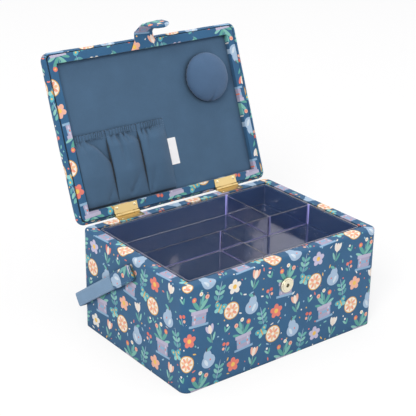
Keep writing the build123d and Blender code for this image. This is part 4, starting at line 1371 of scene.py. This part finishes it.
def make_handle():
    """The carry handle: a plain band, and a printed cover over each pivoted end."""
    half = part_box("handle_core")[1].x / MM - CORE_THICK / 2
    path = handle_path(half, BAND_START)
    band = make_band_piece("handle_webbing", path, BAND_WIDE, BAND_THICK, 0.24, band_cotton, 0.06)
    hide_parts("handle_band")
    inside = handle_matrix().inverted()
    strip = [(inside @ v.co / MM).z for v in frame["nodes"]["handle_core"].data.vertices]
    path = handle_path(half, CORE_START)
    wide = max(strip) - min(strip)
    core = make_band_piece("handle_stiffener", path, wide, CORE_THICK, 0.2, stiffener)
    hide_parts("handle_core")
    length = END_COVER_END - END_COVER_START
    for side, sign in (("left", -1), ("right", 1)):
        path = [(sign * half, END_COVER_START + length * i / 22, -90.0 * sign) for i in range(23)]
        name = f"handle_end_cover_{side}"
        sizes = (END_COVER_WIDE, END_COVER_THICK, 0.26)
        cover = make_band_piece(name, path, *sizes, handle_print, 0.05)
        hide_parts(f"handle_end_{side}")
    return half


def stitch_tree():
    """Geometry nodes that lay stitches end to end along a piece's edges."""
    tree = bpy.data.node_groups.new("row of stitches", "GeometryNodeTree")
    tree.interface.new_socket("Geometry", in_out="INPUT", socket_type="NodeSocketGeometry")
    for name in ("Pitch", "Stitch", "Thread"):
        tree.interface.new_socket(name, in_out="INPUT", socket_type="NodeSocketFloat")
    tree.interface.new_socket("Finish", in_out="INPUT", socket_type="NodeSocketMaterial")
    tree.interface.new_socket("Geometry", in_out="OUTPUT", socket_type="NodeSocketGeometry")
    put = partial(add, tree)
    line, pitch, length, width, finish = put("NodeGroupInput").outputs[:5]
    line = put("GeometryNodeMeshToCurve", line)
    spacing = {"Curve": line, "Length": pitch}
    spots = put("GeometryNodeResampleCurve", spacing, mode="LENGTH")
    bead = put("GeometryNodeMeshUVSphere", {"Segments": 8, "Rings": 6, "Radius": 0.5})
    way = put("GeometryNodeInputTangent")
    lined_up = put("FunctionNodeAlignRotationToVector", {"Vector": way}, axis="X")
    laying = {"Points": spots, "Instance": bead, "Rotation": lined_up}
    laying["Scale"] = put("ShaderNodeCombineXYZ", length, width, width)
    laid = put("GeometryNodeInstanceOnPoints", laying)
    real = put("GeometryNodeRealizeInstances", laid)
    dressing = {"Geometry": real, "Material": finish}
    put("NodeGroupOutput", put("GeometryNodeSetMaterial", dressing))
    return tree


stitches = stitch_tree()
# pitch, length and width of a stitch, in millimetres
BAND_STITCH = (3.0, 2.1, 0.45)
COVER_STITCH = (2.6, 1.8, 0.4)
SEAM_STITCH = (2.4, 1.7, 0.4)
CASING_STITCH = (2.2, 1.6, 0.4)


def sew(name, lines, stitch, finish, way, body):
    """Rows of stitches along lines of points in millimetres."""
    points = []
    edges = []
    for line in lines:
        start = len(points)
        points += [Vector(p) * MM for p in line]
        edges += [(start + i, start + i + 1) for i in range(len(line) - 1)]
    mesh = bpy.data.meshes.new(name)
    mesh.from_pydata(points, edges, [])
    mesh.transform(way)
    row = bpy.data.objects.new(name, mesh)
    bpy.context.scene.collection.objects.link(row)
    layer = row.modifiers.new("row of stitches", "NODES")
    layer.node_group = stitches
    values = dict(zip(("Pitch", "Stitch", "Thread"), [size * MM for size in stitch]), Finish=finish)
    for item in stitches.interface.items_tree:
        if item.name in values:
            layer[item.identifier] = values[item.name]
    settle(row)
    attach(row, body)


def sew_handle(half):
    """Two rows of stitches along both faces of the band and round its end covers."""
    way = handle_matrix()
    path = handle_path(half, BAND_STITCHES_START)
    lines = [
        [(*beside_path(*point, face * BAND_STITCHES_OUT), side) for point in path]
        for face in (-1, 1)
        for side in (-BAND_STITCHES_SIDE, BAND_STITCHES_SIDE)
    ]
    name = "handle_band_stitches"
    sew(name, lines, BAND_STITCH, pale_thread, way, "handle")
    low, high = END_COVER_START + 2.0, END_COVER_END - 1.8
    side = COVER_STITCHES_SIDE
    lines = []
    for sign in (-1, 1):
        for face in (-1, 1):
            x = sign * half + face * COVER_STITCHES_OUT
            corners = [(x, low, -side), (x, high, -side), (x, high, side), (x, low, side)]
            lines += zip(corners, corners[1:] + corners[:1])
    sew("handle_cover_stitches", lines, COVER_STITCH, thread, way, "handle")


def sew_pocket():
    """The seams that part the pockets and the casing's seam."""
    lines = []
    for x in POCKET_SEAMS:
        # the outermost seam's stitches lie inside the pocket's edge
        x += 0.6 if x == POCKET_SEAMS[0] else -0.4
        rises = [pocket_foot + pocket_tall * k / 20 for k in range(21)]
        lines.append([(x, hinge.y - rise, panel_face - 1.35) for rise in rises])
    sew("pocket_seam_stitches", lines, SEAM_STITCH, thread, OPEN_LID, "lid")
    casing = []
    rise = pocket_foot + pocket_tall * CASING_UP
    for lobe, (start, end) in enumerate(zip(POCKET_SEAMS, POCKET_SEAMS[1:])):
        for across in [k / 60 for k in range(60)]:
            off = pocket_bulge(lobe, across, CASING_UP) + POCKET_CLOTH + 0.05
            casing.append((start + (end - start) * across, hinge.y - rise, panel_face - off))
    sew("pocket_casing_stitches", [casing], CASING_STITCH, thread, OPEN_LID, "lid")


SCREW_SPOTS = [
    (side * HINGE_MIDDLE + step * SCREW_HALF_GAP, hinge.y - SCREW_BACK)
    for side in (-1, 1)
    for step in (-1, 1)
]
SCREW_STEPS = 20
SCREW_RINGS = 5


def screw_heads(level, up):
    """Points and faces of the hinge screws' shallow domed heads."""
    points = []
    faces = []
    for x, y in SCREW_SPOTS:
        rows = rows_of(SCREW_RINGS, SCREW_STEPS, len(points))
        for ring in range(SCREW_RINGS):
            tilt = math.radians(90 * ring / SCREW_RINGS)
            radius = SCREW_HEAD * math.cos(tilt)
            height = level + up * SCREW_DOME * math.sin(tilt)
            for angle in ring_angles(SCREW_STEPS):
                points.append((x + radius * math.cos(angle), y + radius * math.sin(angle), height))
        faces += [*bridge(rows), tuple(rows[0]), *fan(rows[-1], len(points))]
        points.append((x, y, level + up * SCREW_DOME))
    return points, faces


def screw_recesses(level, up):
    """Points and faces of dark bars of painted shade in those heads' cross recesses, two to a screw."""
    points = []
    faces = []
    for x, y in SCREW_SPOTS:
        for long_x, long_y in ((0.8, 0.17), (0.17, 0.8)):
            faces += tube(rows_of(2, 4, len(points)))
            for height in (SCREW_DOME - 0.1, SCREW_DOME + 0.015):
                for side_x, side_y in ((-1, -1), (1, -1), (1, 1), (-1, 1)):
                    place = (x + side_x * long_x, y + side_y * long_y)
                    points.append((*place, level + up * height))
    return points, faces


def make_screws():
    """Heads and recesses of the screws in the base's leaves and in the lid's."""
    leaves = (
        ("base", rim_height + HINGE_LEAF, 1, Matrix.Identity(4)),
        ("lid", lid_face - HINGE_LEAF, -1, OPEN_LID),
    )
    for part, drawn, finish in (
        ("heads", screw_heads, screw_brass),
        ("recesses", screw_recesses, recess_shade_paint),
    ):
        for body, level, up, way in leaves:
            name = f"{body}_screw_{part}"
            piece = new_piece(name, *drawn(level, up), finish, smooth=part == "heads")
            face_outwards(piece)
            piece.data.transform(way)
            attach(piece, body)


set_camera()
set_studio()
set_floor()
finish_nodes()
make_lid_pad()
make_pincushion()
make_pocket()
make_tab()
sew_handle(make_handle())
sew_pocket()
make_screws()
